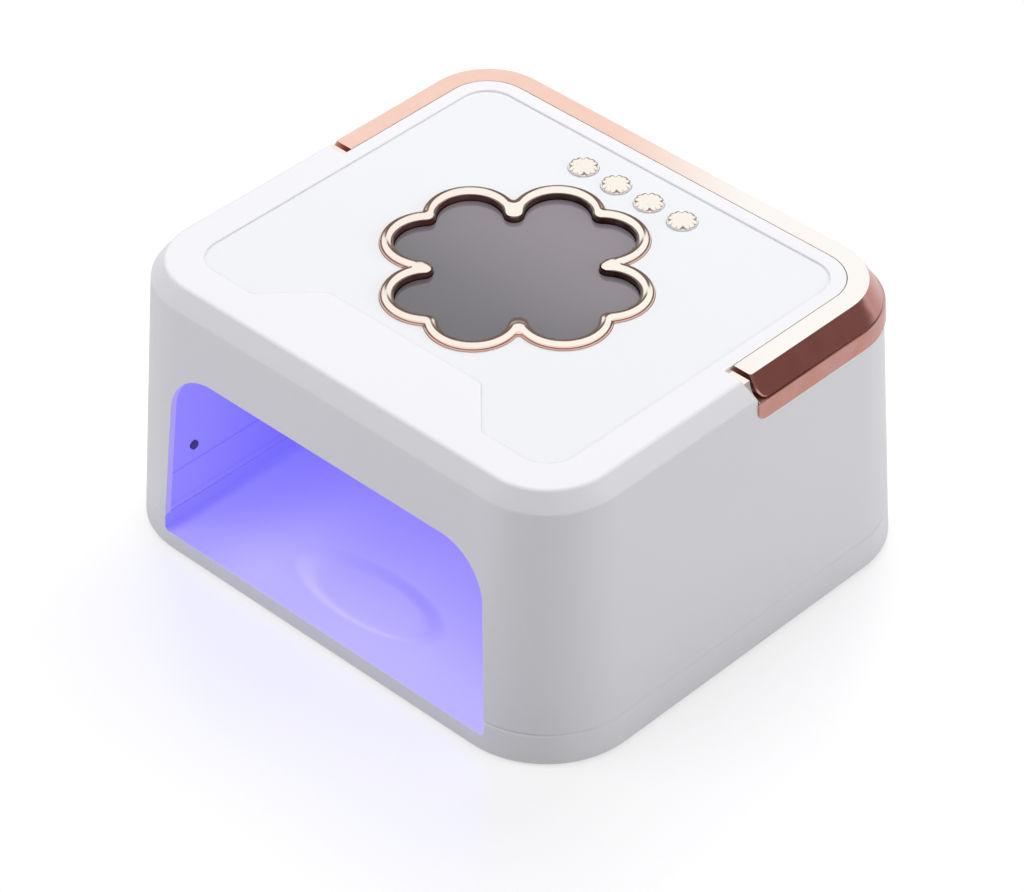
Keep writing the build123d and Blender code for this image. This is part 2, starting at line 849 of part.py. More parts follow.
def leg_rounding():
    """What is cut from under the pivots, so that the legs can turn over the shelf."""
    front = handle_front_y - 1
    low = handle_bottom_z - 1
    with BuildPart() as cut:
        with BuildSketch(Plane.YZ.offset(-far)):
            with BuildLine():
                Polyline((front, low), (pivot_y, low), (pivot_y, pivot_z), (front, pivot_z), close=True)
            make_face()
            with Locations((pivot_y, pivot_z)):
                Ellipse(pivot_back, handle_h / 2, mode=Mode.SUBTRACT)
        extrude(amount=2 * far)
    return cut.part


def handle_end_edges(bail):
    """The upright edges at the outside of the two leg ends."""
    ends = bail.faces().filter_by(Axis.Y).sort_by(Axis.Y)[:2]
    return [e for face in ends for e in face.edges() if abs(e.center().X) > top_half_x]


def pin_rods(grow):
    """The pivot pins' space, from inside the wall into the legs."""
    return side_rods(pin_end_x, leg_inner_x + pin_in_leg, pivot_y, pivot_z, pivot_pin_r + grow)


def make_bushes():
    with BuildPart() as bushes:
        add(side_prisms(rebate_inside_x, rebate_x, pivot_y, pivot_z, bush_r))
        add(pin_rods(pivot_clear), mode=Mode.SUBTRACT)
    return bushes.part


def make_clips():
    """Snap rings on the pins' inner ends."""
    outer = rebate_inside_x - clip_gap
    with BuildPart() as clips:
        add(side_prisms(outer - clip_t, outer, pivot_y, pivot_z, clip_r))
        add(pin_rods(0), mode=Mode.SUBTRACT)
    return clips.part


def make_holder():
    """Battery holder on the liner's back: a plate, two shelves and two ends."""
    back = liner_back_y + holder_back_t
    front = back + holder_shelf_y
    top = holder_low_z + 2 * cell_row
    end = holder_half + holder_end_t
    with BuildPart() as holder:
        add(slab(-holder_half, holder_half, liner_back_y, back, holder_low_z, top))
        for level in (holder_low_z, holder_low_z + cell_row):
            add(slab(-holder_half, holder_half, back, front, level, level + holder_shelf_t))
        add(slab(holder_half, end, liner_back_y, front, holder_low_z, top))
        mirror(about=Plane.YZ)
    return holder.part


def make_cells():
    """Round cells, two to a shelf."""
    y = liner_back_y + holder_back_t + cell_r
    low = holder_low_z + holder_shelf_t + cell_r
    with BuildPart() as cells:
        for level in (low, low + cell_row):
            add(side_rods(cell_space / 2, cell_space / 2 + cell_len, y, level, cell_r))
    return cells.part


def make_inlet():
    """Direct-current inlet: a block with a bore and its centre pin."""
    back = inlet_mouth_y - inlet_len
    with BuildPart() as inlet:
        add(slab(-inlet_half_x, inlet_half_x, back, inlet_mouth_y, inlet_z, inlet_z + inlet_h))
        with BuildSketch(Plane.XZ.offset(-inlet_mouth_y)):
            with Locations((0, inlet_axis_z)):
                Circle(inlet_bore_r)
                Circle(inlet_pin_r, mode=Mode.SUBTRACT)
        extrude(amount=inlet_bore_depth, mode=Mode.SUBTRACT)
    return inlet.part


def save(solid, name):
    """Write one node's STEP file under its own name."""
    solid.label = name
    export_step(solid, f"parts/{name}.step")


def save_tray():
    save(make_tray(), "base_tray")
    save(rods(corners(foot_x, foot_y), foot_r, 0, foot_pad_t), "tray_feet")
    save(blocks(corners(magnet_x, magnet_y), magnet_side, tray_top_z - magnet_t, tray_top_z), "tray_magnets")


def save_case():
    save(make_housing(), "housing")
    save(make_cover(), "bottom_cover")
    save(screws(corners(case_boss_x, case_boss_y), case_head_z, True, screw_grip), "case_screws")
    save(blocks(corners(magnet_x, magnet_y), magnet_side, cover_z, cover_z + plate_t), "holding_plates")
    save(make_panel(), "top_panel")
    save(make_bezel(), "clover_bezel")
    save(make_lens(), "display_lens")


def save_chamber():
    half_x = lamp_board_half_x
    lamp_board = board(-half_x, half_x, lamp_board_y0, lamp_board_y1, lamp_board_z, lamp_board_places())
    save(liner(cover_top_z, liner_seam_z), "reflector_skirt")
    save(make_reflector_dome(), "reflector_dome")
    save(lamp_board, "lamp_board")
    save(make_lamps(), "uv_lamps")
    save(screws(lamp_board_places(), lamp_board_z + board_t, False, post_screw_grip), "lamp_board_screws")
    save(side_rods(sensor_in_x, sensor_in_x + sensor_len, sensor_y, sensor_z, sensor_r), "hand_sensors")
    save(make_sensor_boards(), "sensor_boards")


def save_electronics():
    half = display_x / 2
    save(board(-board_half_x, board_half_x, board_y0, board_y1, board_z, board_places()), "control_board")
    save(screws(board_places(), board_z, True, screw_grip), "control_board_screws")
    save(slab(-half, half, -display_y / 2, display_y / 2, board_top_z, ledge_z), "display_module")
    save(make_switches(), "switch_bodies")
    save(make_holder(), "battery_holder")
    save(make_cells(), "battery_cells")
    save(board(-power_half_x, power_half_x, power_y0, power_y1, power_board_z, None), "power_board")
    save(make_inlet(), "power_inlet")


def save_moving_pieces():
    for number, place in enumerate(button_places(), 1):
        save(make_button(place), f"button_{number}")
        save(make_plunger(place), f"plunger_{number}")
    save(make_trim(), "handle_trim")
    save(make_handle(), "handle")
    save(pin_rods(0), "pivot_pins")
    save(make_bushes(), "pivot_bushes")
    save(make_clips(), "pivot_clips")


def main():
    os.makedirs("parts", exist_ok=True)
    save_tray()
    save_case()
    save_chamber()
    save_electronics()
    save_moving_pieces()


main()
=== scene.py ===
# %% [markdown]
# # A nail lamp, dressed in Blender
# The solids of the lamp come packed as a fixed frame. This lesson gives them their finish: the white
# moulded case, the rose gold plating, the smoked clover window and the violet light in the hand chamber.
# Sizes are metres. +Z is up, the hand opening faces -Y, and the origin is under the middle of the lamp.

# %% Start
import json
import math

import bmesh
import bpy
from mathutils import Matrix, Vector
from mathutils.bvhtree import BVHTree

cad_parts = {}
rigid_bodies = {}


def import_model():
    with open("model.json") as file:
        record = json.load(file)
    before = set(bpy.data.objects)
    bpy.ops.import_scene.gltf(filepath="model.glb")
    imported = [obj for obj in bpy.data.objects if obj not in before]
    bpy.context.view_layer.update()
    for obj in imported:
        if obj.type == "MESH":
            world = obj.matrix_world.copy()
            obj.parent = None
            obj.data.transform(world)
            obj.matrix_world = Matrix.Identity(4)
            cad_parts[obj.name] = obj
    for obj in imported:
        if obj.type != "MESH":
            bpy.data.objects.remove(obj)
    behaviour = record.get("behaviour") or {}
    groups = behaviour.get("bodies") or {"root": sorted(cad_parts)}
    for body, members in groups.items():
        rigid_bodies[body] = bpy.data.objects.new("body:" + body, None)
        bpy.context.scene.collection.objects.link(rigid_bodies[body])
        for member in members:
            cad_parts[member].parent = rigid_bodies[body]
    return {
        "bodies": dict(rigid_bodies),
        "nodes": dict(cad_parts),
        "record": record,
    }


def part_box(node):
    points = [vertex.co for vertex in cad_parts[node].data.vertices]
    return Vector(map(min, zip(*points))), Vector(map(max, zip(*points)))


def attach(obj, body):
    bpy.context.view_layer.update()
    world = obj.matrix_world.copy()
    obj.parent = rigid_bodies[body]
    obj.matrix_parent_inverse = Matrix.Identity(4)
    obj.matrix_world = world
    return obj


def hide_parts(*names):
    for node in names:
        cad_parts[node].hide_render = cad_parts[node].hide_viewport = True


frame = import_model()
solids = frame["nodes"]
scene = bpy.context.scene
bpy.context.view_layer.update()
mm = 0.001

# %% [markdown]
# ## The camera
# A product photograph is taken from far away with a long lens, so that the box's edges stay nearly
# parallel. The camera stands 1.55 m from the lamp, a little over 38 degrees up and to its front right.

# %% Camera
camera_aim = Vector((0.0, 0.0, 0.055))
camera_distance = 1.5483
camera_turn = math.radians(43.685)
camera_rise = math.radians(38.277)

level = camera_distance * math.cos(camera_rise)
camera_eye = camera_aim + Vector(
    (level * math.sin(camera_turn), -level * math.cos(camera_turn), camera_distance * math.sin(camera_rise))
)
camera_data = bpy.data.cameras.new("studio_camera")
camera_data.lens = 155.53
camera_data.sensor_width = 36.0
camera_data.shift_x = -0.00406
camera_data.shift_y = -0.05232
camera = bpy.data.objects.new("studio_camera", camera_data)
camera.location = camera_eye
camera.rotation_euler = (camera_aim - camera_eye).to_track_quat("-Z", "Y").to_euler()
scene.collection.objects.link(camera)
scene.camera = camera
scene.view_settings.view_transform = "Standard"
print("camera at", [round(v, 3) for v in camera_eye])

# %% [markdown]
# ## Light
# White plastic shows its form only when the light differs from side to side. Two large soft lamps hang
# above, one behind and one in front, so that the top and its rounded edges are brightest. Two fills, one
# for the front wall and one for the right wall, leave the corner between them a little darker. Plating
# shows what is around it, so the studio is white high up and has a low dark wall round it.

# %% World
sky_strength = 0.35


def make_sky():
    world = bpy.data.worlds.new("studio_sky")
    scene.world = world
    world.use_nodes = True
    tree = world.node_tree
    tree.nodes.clear()
    rays = tree.nodes.new("ShaderNodeLightPath")
    seen = tree.nodes.new("ShaderNodeMath")
    seen.operation = "MAXIMUM"
    tree.links.new(rays.outputs["Is Camera Ray"], seen.inputs[0])
    shiny = tree.nodes.new("ShaderNodeMath")
    shiny.operation = "MAXIMUM"
    tree.links.new(rays.outputs["Is Glossy Ray"], shiny.inputs[0])
    tree.links.new(rays.outputs["Is Transmission Ray"], shiny.inputs[1])
    tree.links.new(shiny.outputs[0], seen.inputs[1])
    fill = tree.nodes.new("ShaderNodeBackground")
    fill.inputs["Color"].default_value = (0.97, 0.98, 1.0, 1.0)
    fill.inputs["Strength"].default_value = sky_strength
    white = tree.nodes.new("ShaderNodeBackground")
    white.inputs["Color"].default_value = (1.0, 1.0, 1.0, 1.0)
    white.inputs["Strength"].default_value = 1.0
    mix = tree.nodes.new("ShaderNodeMixShader")
    out = tree.nodes.new("ShaderNodeOutputWorld")
    tree.links.new(seen.outputs[0], mix.inputs[0])
    tree.links.new(fill.outputs[0], mix.inputs[1])
    tree.links.new(white.outputs[0], mix.inputs[2])
    tree.links.new(mix.outputs[0], out.inputs["Surface"])
    return world


print("world:", make_sky().name)

# %% [markdown]
# A studio's soft lamp is a lit disc a metre or more across. An area light of the same size gives the same
# soft edge to every shadow. In the plating its round image would be a hard white spot, so glossy rays
# don't see it.

# %% Soft lamps
lamp_plan = {
    "high_lamp": (Vector((-0.60, 1.10, 1.70)), 1.6, 22.5),
    "front_lamp": (Vector((-0.45, -0.80, 2.20)), 1.2, 12.5),
    "front_fill": (Vector((-1.70, -1.55, 0.80)), 1.4, 6.5),
    "right_fill": (Vector((1.90, 1.20, 0.80)), 1.4, 13.8),
}


def add_soft_lamp(name, place, size, watts):
    data = bpy.data.lights.new(name, "AREA")
    data.shape = "DISK"
    data.size = size
    data.energy = watts
    lamp = bpy.data.objects.new(name, data)
    lamp.location = place
    lamp.rotation_euler = (camera_aim - place).to_track_quat("-Z", "Y").to_euler()
    lamp.visible_glossy = False
    scene.collection.objects.link(lamp)
    return lamp


for name, (place, size, watts) in lamp_plan.items():
    print(add_soft_lamp(name, place, size, watts).name, watts, "W")

# %% [markdown]
# The floor takes the lamp's shadow and is white to the camera wherever nothing shades it. Plating mirrors
# the whole room, so a low ring of dark wall stands round the stage. A dark image on the world would do
# too, but a real ring stays at one height, and only reflections see it.

# %% Floor and dark wall
floor_half = 6.0
wall_radius = 4.0
wall_low = 0.12
wall_high = 1.95


def stage_piece(name, vertices, faces, material):
    mesh = bpy.data.meshes.new(name)
    mesh.from_pydata(vertices, [], faces)
    mesh.materials.append(material)
    piece = bpy.data.objects.new(name, mesh)
    scene.collection.objects.link(piece)
    return piece


def make_floor_finish():
    """Pale to every ray, and white to the camera where nothing shades it."""
    material = bpy.data.materials.new("pale_floor")
    material.use_nodes = True
    tree = material.node_tree
    shader = tree.nodes["Principled BSDF"]
    shader.inputs["Roughness"].default_value = 0.22
    shader.inputs["Specular IOR Level"].default_value = 0.35
    shader.inputs["Emission Strength"].default_value = 1.0
    rays = tree.nodes.new("ShaderNodeLightPath")
    for socket, plain, seen in (
        ("Base Color", (0.70, 0.70, 0.71, 1.0), (0.36, 0.36, 0.37, 1.0)),
        ("Emission Color", (0.0, 0.0, 0.0, 1.0), (0.65, 0.65, 0.65, 1.0)),
    ):
        mix = tree.nodes.new("ShaderNodeMix")
        mix.data_type = "RGBA"
        mix.inputs["A"].default_value = plain
        mix.inputs["B"].default_value = seen
        tree.links.new(rays.outputs["Is Camera Ray"], mix.inputs["Factor"])
        tree.links.new(mix.outputs["Result"], shader.inputs[socket])
    return material


def make_wall_finish():
    material = bpy.data.materials.new("dark_wall")
    material.use_nodes = True
    tree = material.node_tree
    tree.nodes.clear()
    glow = tree.nodes.new("ShaderNodeEmission")
    glow.inputs["Color"].default_value = (0.16, 0.11, 0.10, 1.0)
    glow.inputs["Strength"].default_value = 1.0
    out = tree.nodes.new("ShaderNodeOutputMaterial")
    tree.links.new(glow.outputs[0], out.inputs["Surface"])
    return material


def make_dark_wall(steps=48):
    ring = [(math.cos(2 * math.pi * i / steps), math.sin(2 * math.pi * i / steps)) for i in range(steps)]
    vertices = [(wall_radius * x, wall_radius * y, z) for z in (wall_low, wall_high) for x, y in ring]
    faces = [(i, (i + 1) % steps, steps + (i + 1) % steps, steps + i) for i in range(steps)]
    wall = stage_piece("dark_wall", vertices, faces, make_wall_finish())
    wall.visible_camera = False
    wall.visible_diffuse = False
    wall.visible_shadow = False
    wall.visible_transmission = False
    return wall


corners = [(x * floor_half, y * floor_half, 0) for x, y in ((-1, -1), (1, -1), (1, 1), (-1, 1))]
floor = stage_piece("pale_floor", corners, [(0, 1, 2, 3)], make_floor_finish())
print("stage:", floor.name, make_dark_wall().name)

# %% [markdown]
# ## Shader groups
# Moulded plastic is never one flat colour: its gloss changes a little from place to place, and a fine
# orange-peel grain breaks up reflections. Plating has a painted reflection that drifts in tone, and a faint
# brushed streak. Each of these effects is a group of nodes with named inputs, built once and used by many
# finishes.

# %% Group helpers
def start_group(name, inputs, outputs):
    group = bpy.data.node_groups.new(name, "ShaderNodeTree")
    for label, kind, value in inputs:
        socket = group.interface.new_socket(label, in_out="INPUT", socket_type=kind)
        if value is not None:
            socket.default_value = value
    for label, kind in outputs:
        group.interface.new_socket(label, in_out="OUTPUT", socket_type=kind)
    taken = group.nodes.new("NodeGroupInput").outputs
    given = group.nodes.new("NodeGroupOutput").inputs
    return group, taken, given


def math_node(tree, operation, first, second=None):
    node = tree.nodes.new("ShaderNodeMath")
    node.operation = operation
    for slot, value in zip(node.inputs, (first, second)):
        if value is None:
            continue
        if isinstance(value, (int, float)):
            slot.default_value = value
        else:
            tree.links.new(value, slot)
    return node.outputs[0]


def ramp_node(tree, value, low, high, smooth=True):
    """0 at low and 1 at high, eased at both ends."""
    node = tree.nodes.new("ShaderNodeMapRange")
    node.interpolation_type = "SMOOTHSTEP" if smooth else "LINEAR"
    for label, source in (("Value", value), ("From Min", low), ("From Max", high)):
        if isinstance(source, (int, float)):
            node.inputs[label].default_value = source
        else:
            tree.links.new(source, node.inputs[label])
    return node.outputs["Result"]


def mix_node(tree, factor, first, second, blend="MIX"):
    node = tree.nodes.new("ShaderNodeMix")
    node.data_type = "RGBA"
    node.blend_type = blend
    for label, source in (("Factor", factor), ("A", first), ("B", second)):
        socket = [s for s in node.inputs if s.name == label and s.enabled][0]
        if isinstance(source, (int, float, tuple)):
            socket.default_value = source
        else:
            tree.links.new(source, socket)
    return [s for s in node.outputs if s.enabled][0]


def noise_node(tree, vector, scale, detail=2.0):
    node = tree.nodes.new("ShaderNodeTexNoise")
    node.inputs["Detail"].default_value = detail
    tree.links.new(vector, node.inputs["Vector"])
    if isinstance(scale, (int, float)):
        node.inputs["Scale"].default_value = scale
    else:
        tree.links.new(scale, node.inputs["Scale"])
    return node.outputs[0]


print("helpers ready")

# %% [markdown]
# The case's plastic comes from a polished steel mould. Two noises are enough for it: a broad one shifts
# the colour and the gloss, and a fine one feeds the bump. A picture of plastic could do the same, but it
# would have to be unwrapped onto every piece.

# %% Moulded skin
def make_moulded_skin():
    """Broad mottling of colour and gloss, and a fine grain to feed a Bump."""
    group, taken, given = start_group(
        "moulded_skin",
        [
            ("Vector", "NodeSocketVector", None),
            ("Colour", "NodeSocketColor", (0.9, 0.9, 0.9, 1.0)),
            ("Shade", "NodeSocketColor", (0.8, 0.8, 0.8, 1.0)),
            ("Mottle Scale", "NodeSocketFloat", 12.0),
            ("Grain Scale", "NodeSocketFloat", 900.0),
            ("Roughness", "NodeSocketFloat", 0.3),
            ("Spread", "NodeSocketFloat", 0.08),
        ],
        [("Colour", "NodeSocketColor"), ("Roughness", "NodeSocketFloat"), ("Height", "NodeSocketFloat")],
    )
    mottle = noise_node(group, taken["Vector"], taken["Mottle Scale"], 3.0)
    group.links.new(mix_node(group, mottle, taken["Colour"], taken["Shade"]), given["Colour"])
    swing = math_node(group, "MULTIPLY", math_node(group, "SUBTRACT", mottle, 0.5), taken["Spread"])
    group.links.new(math_node(group, "ADD", taken["Roughness"], swing), given["Roughness"])
    group.links.new(noise_node(group, taken["Vector"], taken["Grain Scale"], 2.0), given["Height"])
    return group


moulded_skin = make_moulded_skin()
print("group:", moulded_skin.name)

# %% [markdown]
# Plating is a thin mirror, and what it mirrors makes most of its look. The rest is a painted reflection, a
# slow change of tone across the part, so the colour follows one slanted direction, and a noise adds faint
# streaks.

# %% Plated drift
def make_painted_drift_and_streaks():
    """Painted reflection: tone that drifts from warm at the front left to pale at the rear right; and faint streaks."""
    group, taken, given = start_group(
        "painted_drift_and_streaks",
        [
            ("Vector", "NodeSocketVector", None),
            ("Warm", "NodeSocketColor", (0.9, 0.6, 0.5, 1.0)),
            ("Pale", "NodeSocketColor", (1.0, 0.9, 0.8, 1.0)),
            ("From", "NodeSocketFloat", -0.1),
            ("To", "NodeSocketFloat", 0.1),
            ("Streak Scale", "NodeSocketFloat", 160.0),
            ("Roughness", "NodeSocketFloat", 0.12),
        ],
        [("Colour", "NodeSocketColor"), ("Roughness", "NodeSocketFloat"), ("Height", "NodeSocketFloat")],
    )
    parts = group.nodes.new("ShaderNodeSeparateXYZ")
    group.links.new(taken["Vector"], parts.inputs[0])
    across = math_node(group, "ADD", parts.outputs["X"], parts.outputs["Y"])
    slant = math_node(group, "MULTIPLY", across, math.sqrt(0.5))
    along = ramp_node(group, slant, taken["From"], taken["To"])
    tone = mix_node(group, along, taken["Warm"], taken["Pale"])
    streak = noise_node(group, taken["Vector"], taken["Streak Scale"], 3.0)
    worn = ramp_node(group, streak, 0.30, 0.75)
    faint = math_node(group, "MULTIPLY", worn, 0.10)
    group.links.new(mix_node(group, faint, tone, (1.0, 0.96, 0.92, 1.0)), given["Colour"])
    rough = math_node(group, "MULTIPLY", streak, 0.06)
    group.links.new(math_node(group, "ADD", taken["Roughness"], rough), given["Roughness"])
    group.links.new(streak, given["Height"])
    return group


painted_drift_and_streaks = make_painted_drift_and_streaks()
print("group:", painted_drift_and_streaks.name)

# %% [markdown]
# The hand chamber is lit by lamps in its roof, and that light fades with distance. Twenty real lights
# would make the render slow and grainy. A painted colour that changes with depth, height and side gives the
# same fall-off, and a tilt that the mesh carries paints shade on what leans away and a highlight on what
# leans towards the light.

# %% Violet wash
def make_violet_wash():
    """The lamps' light on the chamber: deep violet at the rear, paler towards the front and the floor."""
    group, taken, given = start_group(
        "violet_wash",
        [
            ("Vector", "NodeSocketVector", None),
            ("Deep", "NodeSocketColor", (0.25, 0.20, 1.0, 1.0)),
            ("Pale", "NodeSocketColor", (0.50, 0.44, 1.0, 1.0)),
            ("Rear", "NodeSocketFloat", 0.05),
            ("Front", "NodeSocketFloat", -0.10),
            ("Top", "NodeSocketFloat", 0.08),
            ("Bottom", "NodeSocketFloat", 0.0),
            ("Side Shade", "NodeSocketFloat", 0.0),
            ("Tilt", "NodeSocketFloat", 0.0),
        ],
        [("Colour", "NodeSocketColor"), ("Height", "NodeSocketFloat")],
    )
    parts = group.nodes.new("ShaderNodeSeparateXYZ")
    group.links.new(taken["Vector"], parts.inputs[0])
    forward = ramp_node(group, parts.outputs["Y"], taken["Rear"], taken["Front"])
    downward = ramp_node(group, parts.outputs["Z"], taken["Top"], taken["Bottom"])
    wash = math_node(group, "MAXIMUM", forward, math_node(group, "MULTIPLY", downward, 0.55))
    # Painted shade near the left wall, as strong as the Side Shade input.
    broad = ramp_node(group, parts.outputs["X"], -0.034, -0.070)
    close = ramp_node(group, parts.outputs["X"], -0.0725, -0.0788)
    near_side = math_node(group, "MULTIPLY", math_node(group, "ADD", broad, close), 0.5)
    shade = math_node(group, "SUBTRACT", 1.0, math_node(group, "MULTIPLY", near_side, taken["Side Shade"]))
    wash = math_node(group, "MULTIPLY", wash, shade)
    ripple = noise_node(group, taken["Vector"], 16.0, 2.0)
    uneven = math_node(group, "MULTIPLY", math_node(group, "SUBTRACT", ripple, 0.5), 0.18)
    soft = math_node(group, "ADD", wash, uneven)
    clamped = math_node(group, "MINIMUM", math_node(group, "MAXIMUM", soft, 0.0), 1.0)
    tone = mix_node(group, clamped, taken["Deep"], taken["Pale"])
    toward = math_node(group, "MAXIMUM", taken["Tilt"], 0.0)
    away = math_node(group, "MAXIMUM", math_node(group, "MULTIPLY", taken["Tilt"], -1.0), 0.0)
    # Painted highlight where the surface leans towards the light, painted shade where it leans away.
    tone = mix_node(group, toward, tone, (0.80, 0.76, 0.80, 1.0))
    group.links.new(mix_node(group, away, tone, taken["Deep"]), given["Colour"])
    group.links.new(noise_node(group, taken["Vector"], 700.0, 2.0), given["Height"])
    return group


violet_wash = make_violet_wash()
print("group:", violet_wash.name)

# %% [markdown]
# ## Finishes
# Every finish starts from the same few steps: a Principled shader and a group fed by Object coordinates,
# and most add a Bump node with a very small distance. The values that don't change over the surface sit on
# the sockets.

# %% Finish helpers
finishes = {}


def start_finish(name, group, values):
    """A material with one group placed in it; returns the material, its shader and the group's node."""
    material = bpy.data.materials.new(name)
    material.use_nodes = True
    tree = material.node_tree
    shader = tree.nodes["Principled BSDF"]
    place = tree.nodes.new("ShaderNodeTexCoord")
    effect = tree.nodes.new("ShaderNodeGroup")
    effect.node_tree = group
    tree.links.new(place.outputs["Object"], effect.inputs["Vector"])
    for label, value in values.items():
        effect.inputs[label].default_value = value
    tree.links.new(effect.outputs["Colour"], shader.inputs["Base Color"])
    finishes[name] = material
    return material, tree, shader, effect


def add_bump(tree, shader, height, distance):
    bump = tree.nodes.new("ShaderNodeBump")
    bump.inputs["Distance"].default_value = distance
    bump.inputs["Strength"].default_value = 0.5
    tree.links.new(height, bump.inputs["Height"])
    tree.links.new(bump.outputs["Normal"], shader.inputs["Normal"])


def plastic(name, colour, shade, roughness, spread=0.08, mottle=12.0, grain=900.0, bump=0.00001, coat=0.0):
    values = {
        "Colour": (*colour, 1.0), "Shade": (*shade, 1.0), "Mottle Scale": mottle,
        "Grain Scale": grain, "Roughness": roughness, "Spread": spread,
    }
    material, tree, shader, effect = start_finish(name, moulded_skin, values)
    tree.links.new(effect.outputs["Roughness"], shader.inputs["Roughness"])
    shader.inputs["Coat Weight"].default_value = coat
    shader.inputs["Coat Roughness"].default_value = 0.05
    add_bump(tree, shader, effect.outputs["Height"], bump)
    return material


def plating(name, warm, pale, start, end, roughness, streaks=160.0, bump=0.000004):
    values = {
        "Warm": (*warm, 1.0), "Pale": (*pale, 1.0), "From": start, "To": end,
        "Streak Scale": streaks, "Roughness": roughness,
    }
    material, tree, shader, effect = start_finish(name, painted_drift_and_streaks, values)
    tree.links.new(effect.outputs["Roughness"], shader.inputs["Roughness"])
    shader.inputs["Metallic"].default_value = 1.0
    add_bump(tree, shader, effect.outputs["Height"], bump)
    return material


print("finish helpers ready")

# %% [markdown]
# The case and the panel are two whites from two moulds: the panel is a little cooler and glossier. The
# others are plain working plastics inside the case, with a coarser mottle on the circuit board.

# %% Plastics
plastic("case_white", (0.91, 0.903, 0.93), (0.89, 0.883, 0.91), 0.34)
plastic("panel_white", (0.87, 0.88, 0.905), (0.855, 0.865, 0.89), 0.20, coat=0.15)
plastic("sensor_dark", (0.03, 0.02, 0.08), (0.06, 0.04, 0.13), 0.12, coat=0.6)
plastic("rubber_feet", (0.035, 0.035, 0.037), (0.06, 0.06, 0.062), 0.75, grain=1500.0, bump=0.00004)
plastic("circuit_board", (0.015, 0.16, 0.06), (0.02, 0.11, 0.045), 0.35, mottle=90.0, coat=0.3)
plastic("black_plastic", (0.018, 0.018, 0.02), (0.03, 0.03, 0.032), 0.45)
plastic("bush_plastic", (0.72, 0.70, 0.64), (0.66, 0.63, 0.57), 0.45)
plastic("cell_wrap", (0.03, 0.13, 0.33), (0.02, 0.09, 0.25), 0.25, coat=0.3)
print("plastics:", sorted(finishes))

# %% [markdown]
# One plating covers the handle, the band, the frame and the keys. It looks different on each face, since
# each face mirrors another part of the room, so each kind of face has a painted reflection: a copy of the
# plating with a warm and a pale tone of its own. The steel of screws, pins and magnets uses the same group
# in grey.

# %% Platings
# Painted reflection on every copy: rose_gold drifts from warm to nearly white, rose_gold_pale is the painted highlight
# on faces that look up, rose_gold_satin is rougher and painted paler for walls, rose_gold_side and rose_gold_trim are
# redder, darker copies for the handle's slope and the band, rose_gold_shelf is painted shade on the band's shelf and in
# the keys' notches, and rose_gold_deep is the window's dark image painted on the frame's inner wall.
plating("rose_gold", (0.94, 0.63, 0.52), (0.98, 0.945, 0.90), 0.030, 0.086, 0.10)
plating("rose_gold_pale", (0.97, 0.85, 0.76), (0.98, 0.91, 0.82), -0.06, 0.04, 0.12)
plating("rose_gold_satin", (0.95, 0.80, 0.76), (0.95, 0.84, 0.80), -0.06, 0.04, 0.42)
plating("rose_gold_side", (0.92, 0.40, 0.34), (0.96, 0.50, 0.44), 0.02, 0.13, 0.14)
plating("rose_gold_trim", (0.69, 0.30, 0.24), (0.73, 0.35, 0.285), -0.10, 0.10, 0.16)
plating("rose_gold_shelf", (0.60, 0.37, 0.32), (0.64, 0.41, 0.36), -0.10, 0.10, 0.34)
plating("rose_gold_deep", (0.22, 0.07, 0.065), (0.07, 0.018, 0.018), -0.04, 0.03, 0.22)
plating("bright_steel", (0.62, 0.62, 0.64), (0.72, 0.72, 0.74), -0.10, 0.10, 0.25, streaks=400.0)
print("platings:", [n for n in finishes if "gold" in n or "steel" in n])

# %% [markdown]
# The window is tinted plastic over a dark display. Its tone falls a little from rear to front, a painted
# reflection, and a clear hard coat gives it its sharp reflection.

# %% Smoked lens
def make_smoked_lens():
    values = {
        "Deep": (0.245, 0.216, 0.243, 1.0), "Pale": (0.118, 0.112, 0.126, 1.0),
        "Rear": 0.035, "Front": -0.042, "Top": -0.9, "Bottom": -1.0,
    }
    material, tree, shader, effect = start_finish("smoked_lens", violet_wash, values)
    shader.inputs["Roughness"].default_value = 0.09
    shader.inputs["Coat Weight"].default_value = 0.5
    shader.inputs["Coat Roughness"].default_value = 0.03
    return material


make_smoked_lens()
print("smoked_lens made")

# %% [markdown]
# The chamber's light is painted on: its walls glow a little by themselves, though they are no lamps, in
# the violet wash's painted fall-off. What is left of their colour comes from a real violet lamp, which keeps
# the shading of their curves. The tray's mesh also carries a tilt, which paints shade on what leans away
# from the lamps' light and a highlight on what leans towards it.

# %% Chamber finishes
painted_chamber_light = 0.60
below_all = (-0.9, -1.0)


def make_lit_finish(name, deep, pale, depth=(-0.02, -0.10), glow=painted_chamber_light, roughness=0.35):
    """The wash runs along the depth alone: its heights lie far below the chamber."""
    values = {
        "Deep": (*deep, 1.0), "Pale": (*pale, 1.0), "Rear": depth[0], "Front": depth[1],
        "Top": below_all[0], "Bottom": below_all[1],
    }
    material, tree, shader, effect = start_finish(name, violet_wash, values)
    tree.links.new(effect.outputs["Colour"], shader.inputs["Emission Color"])
    shader.inputs["Emission Strength"].default_value = glow
    shader.inputs["Roughness"].default_value = roughness
    add_bump(tree, shader, effect.outputs["Height"], 0.00001)
    return material, tree, effect


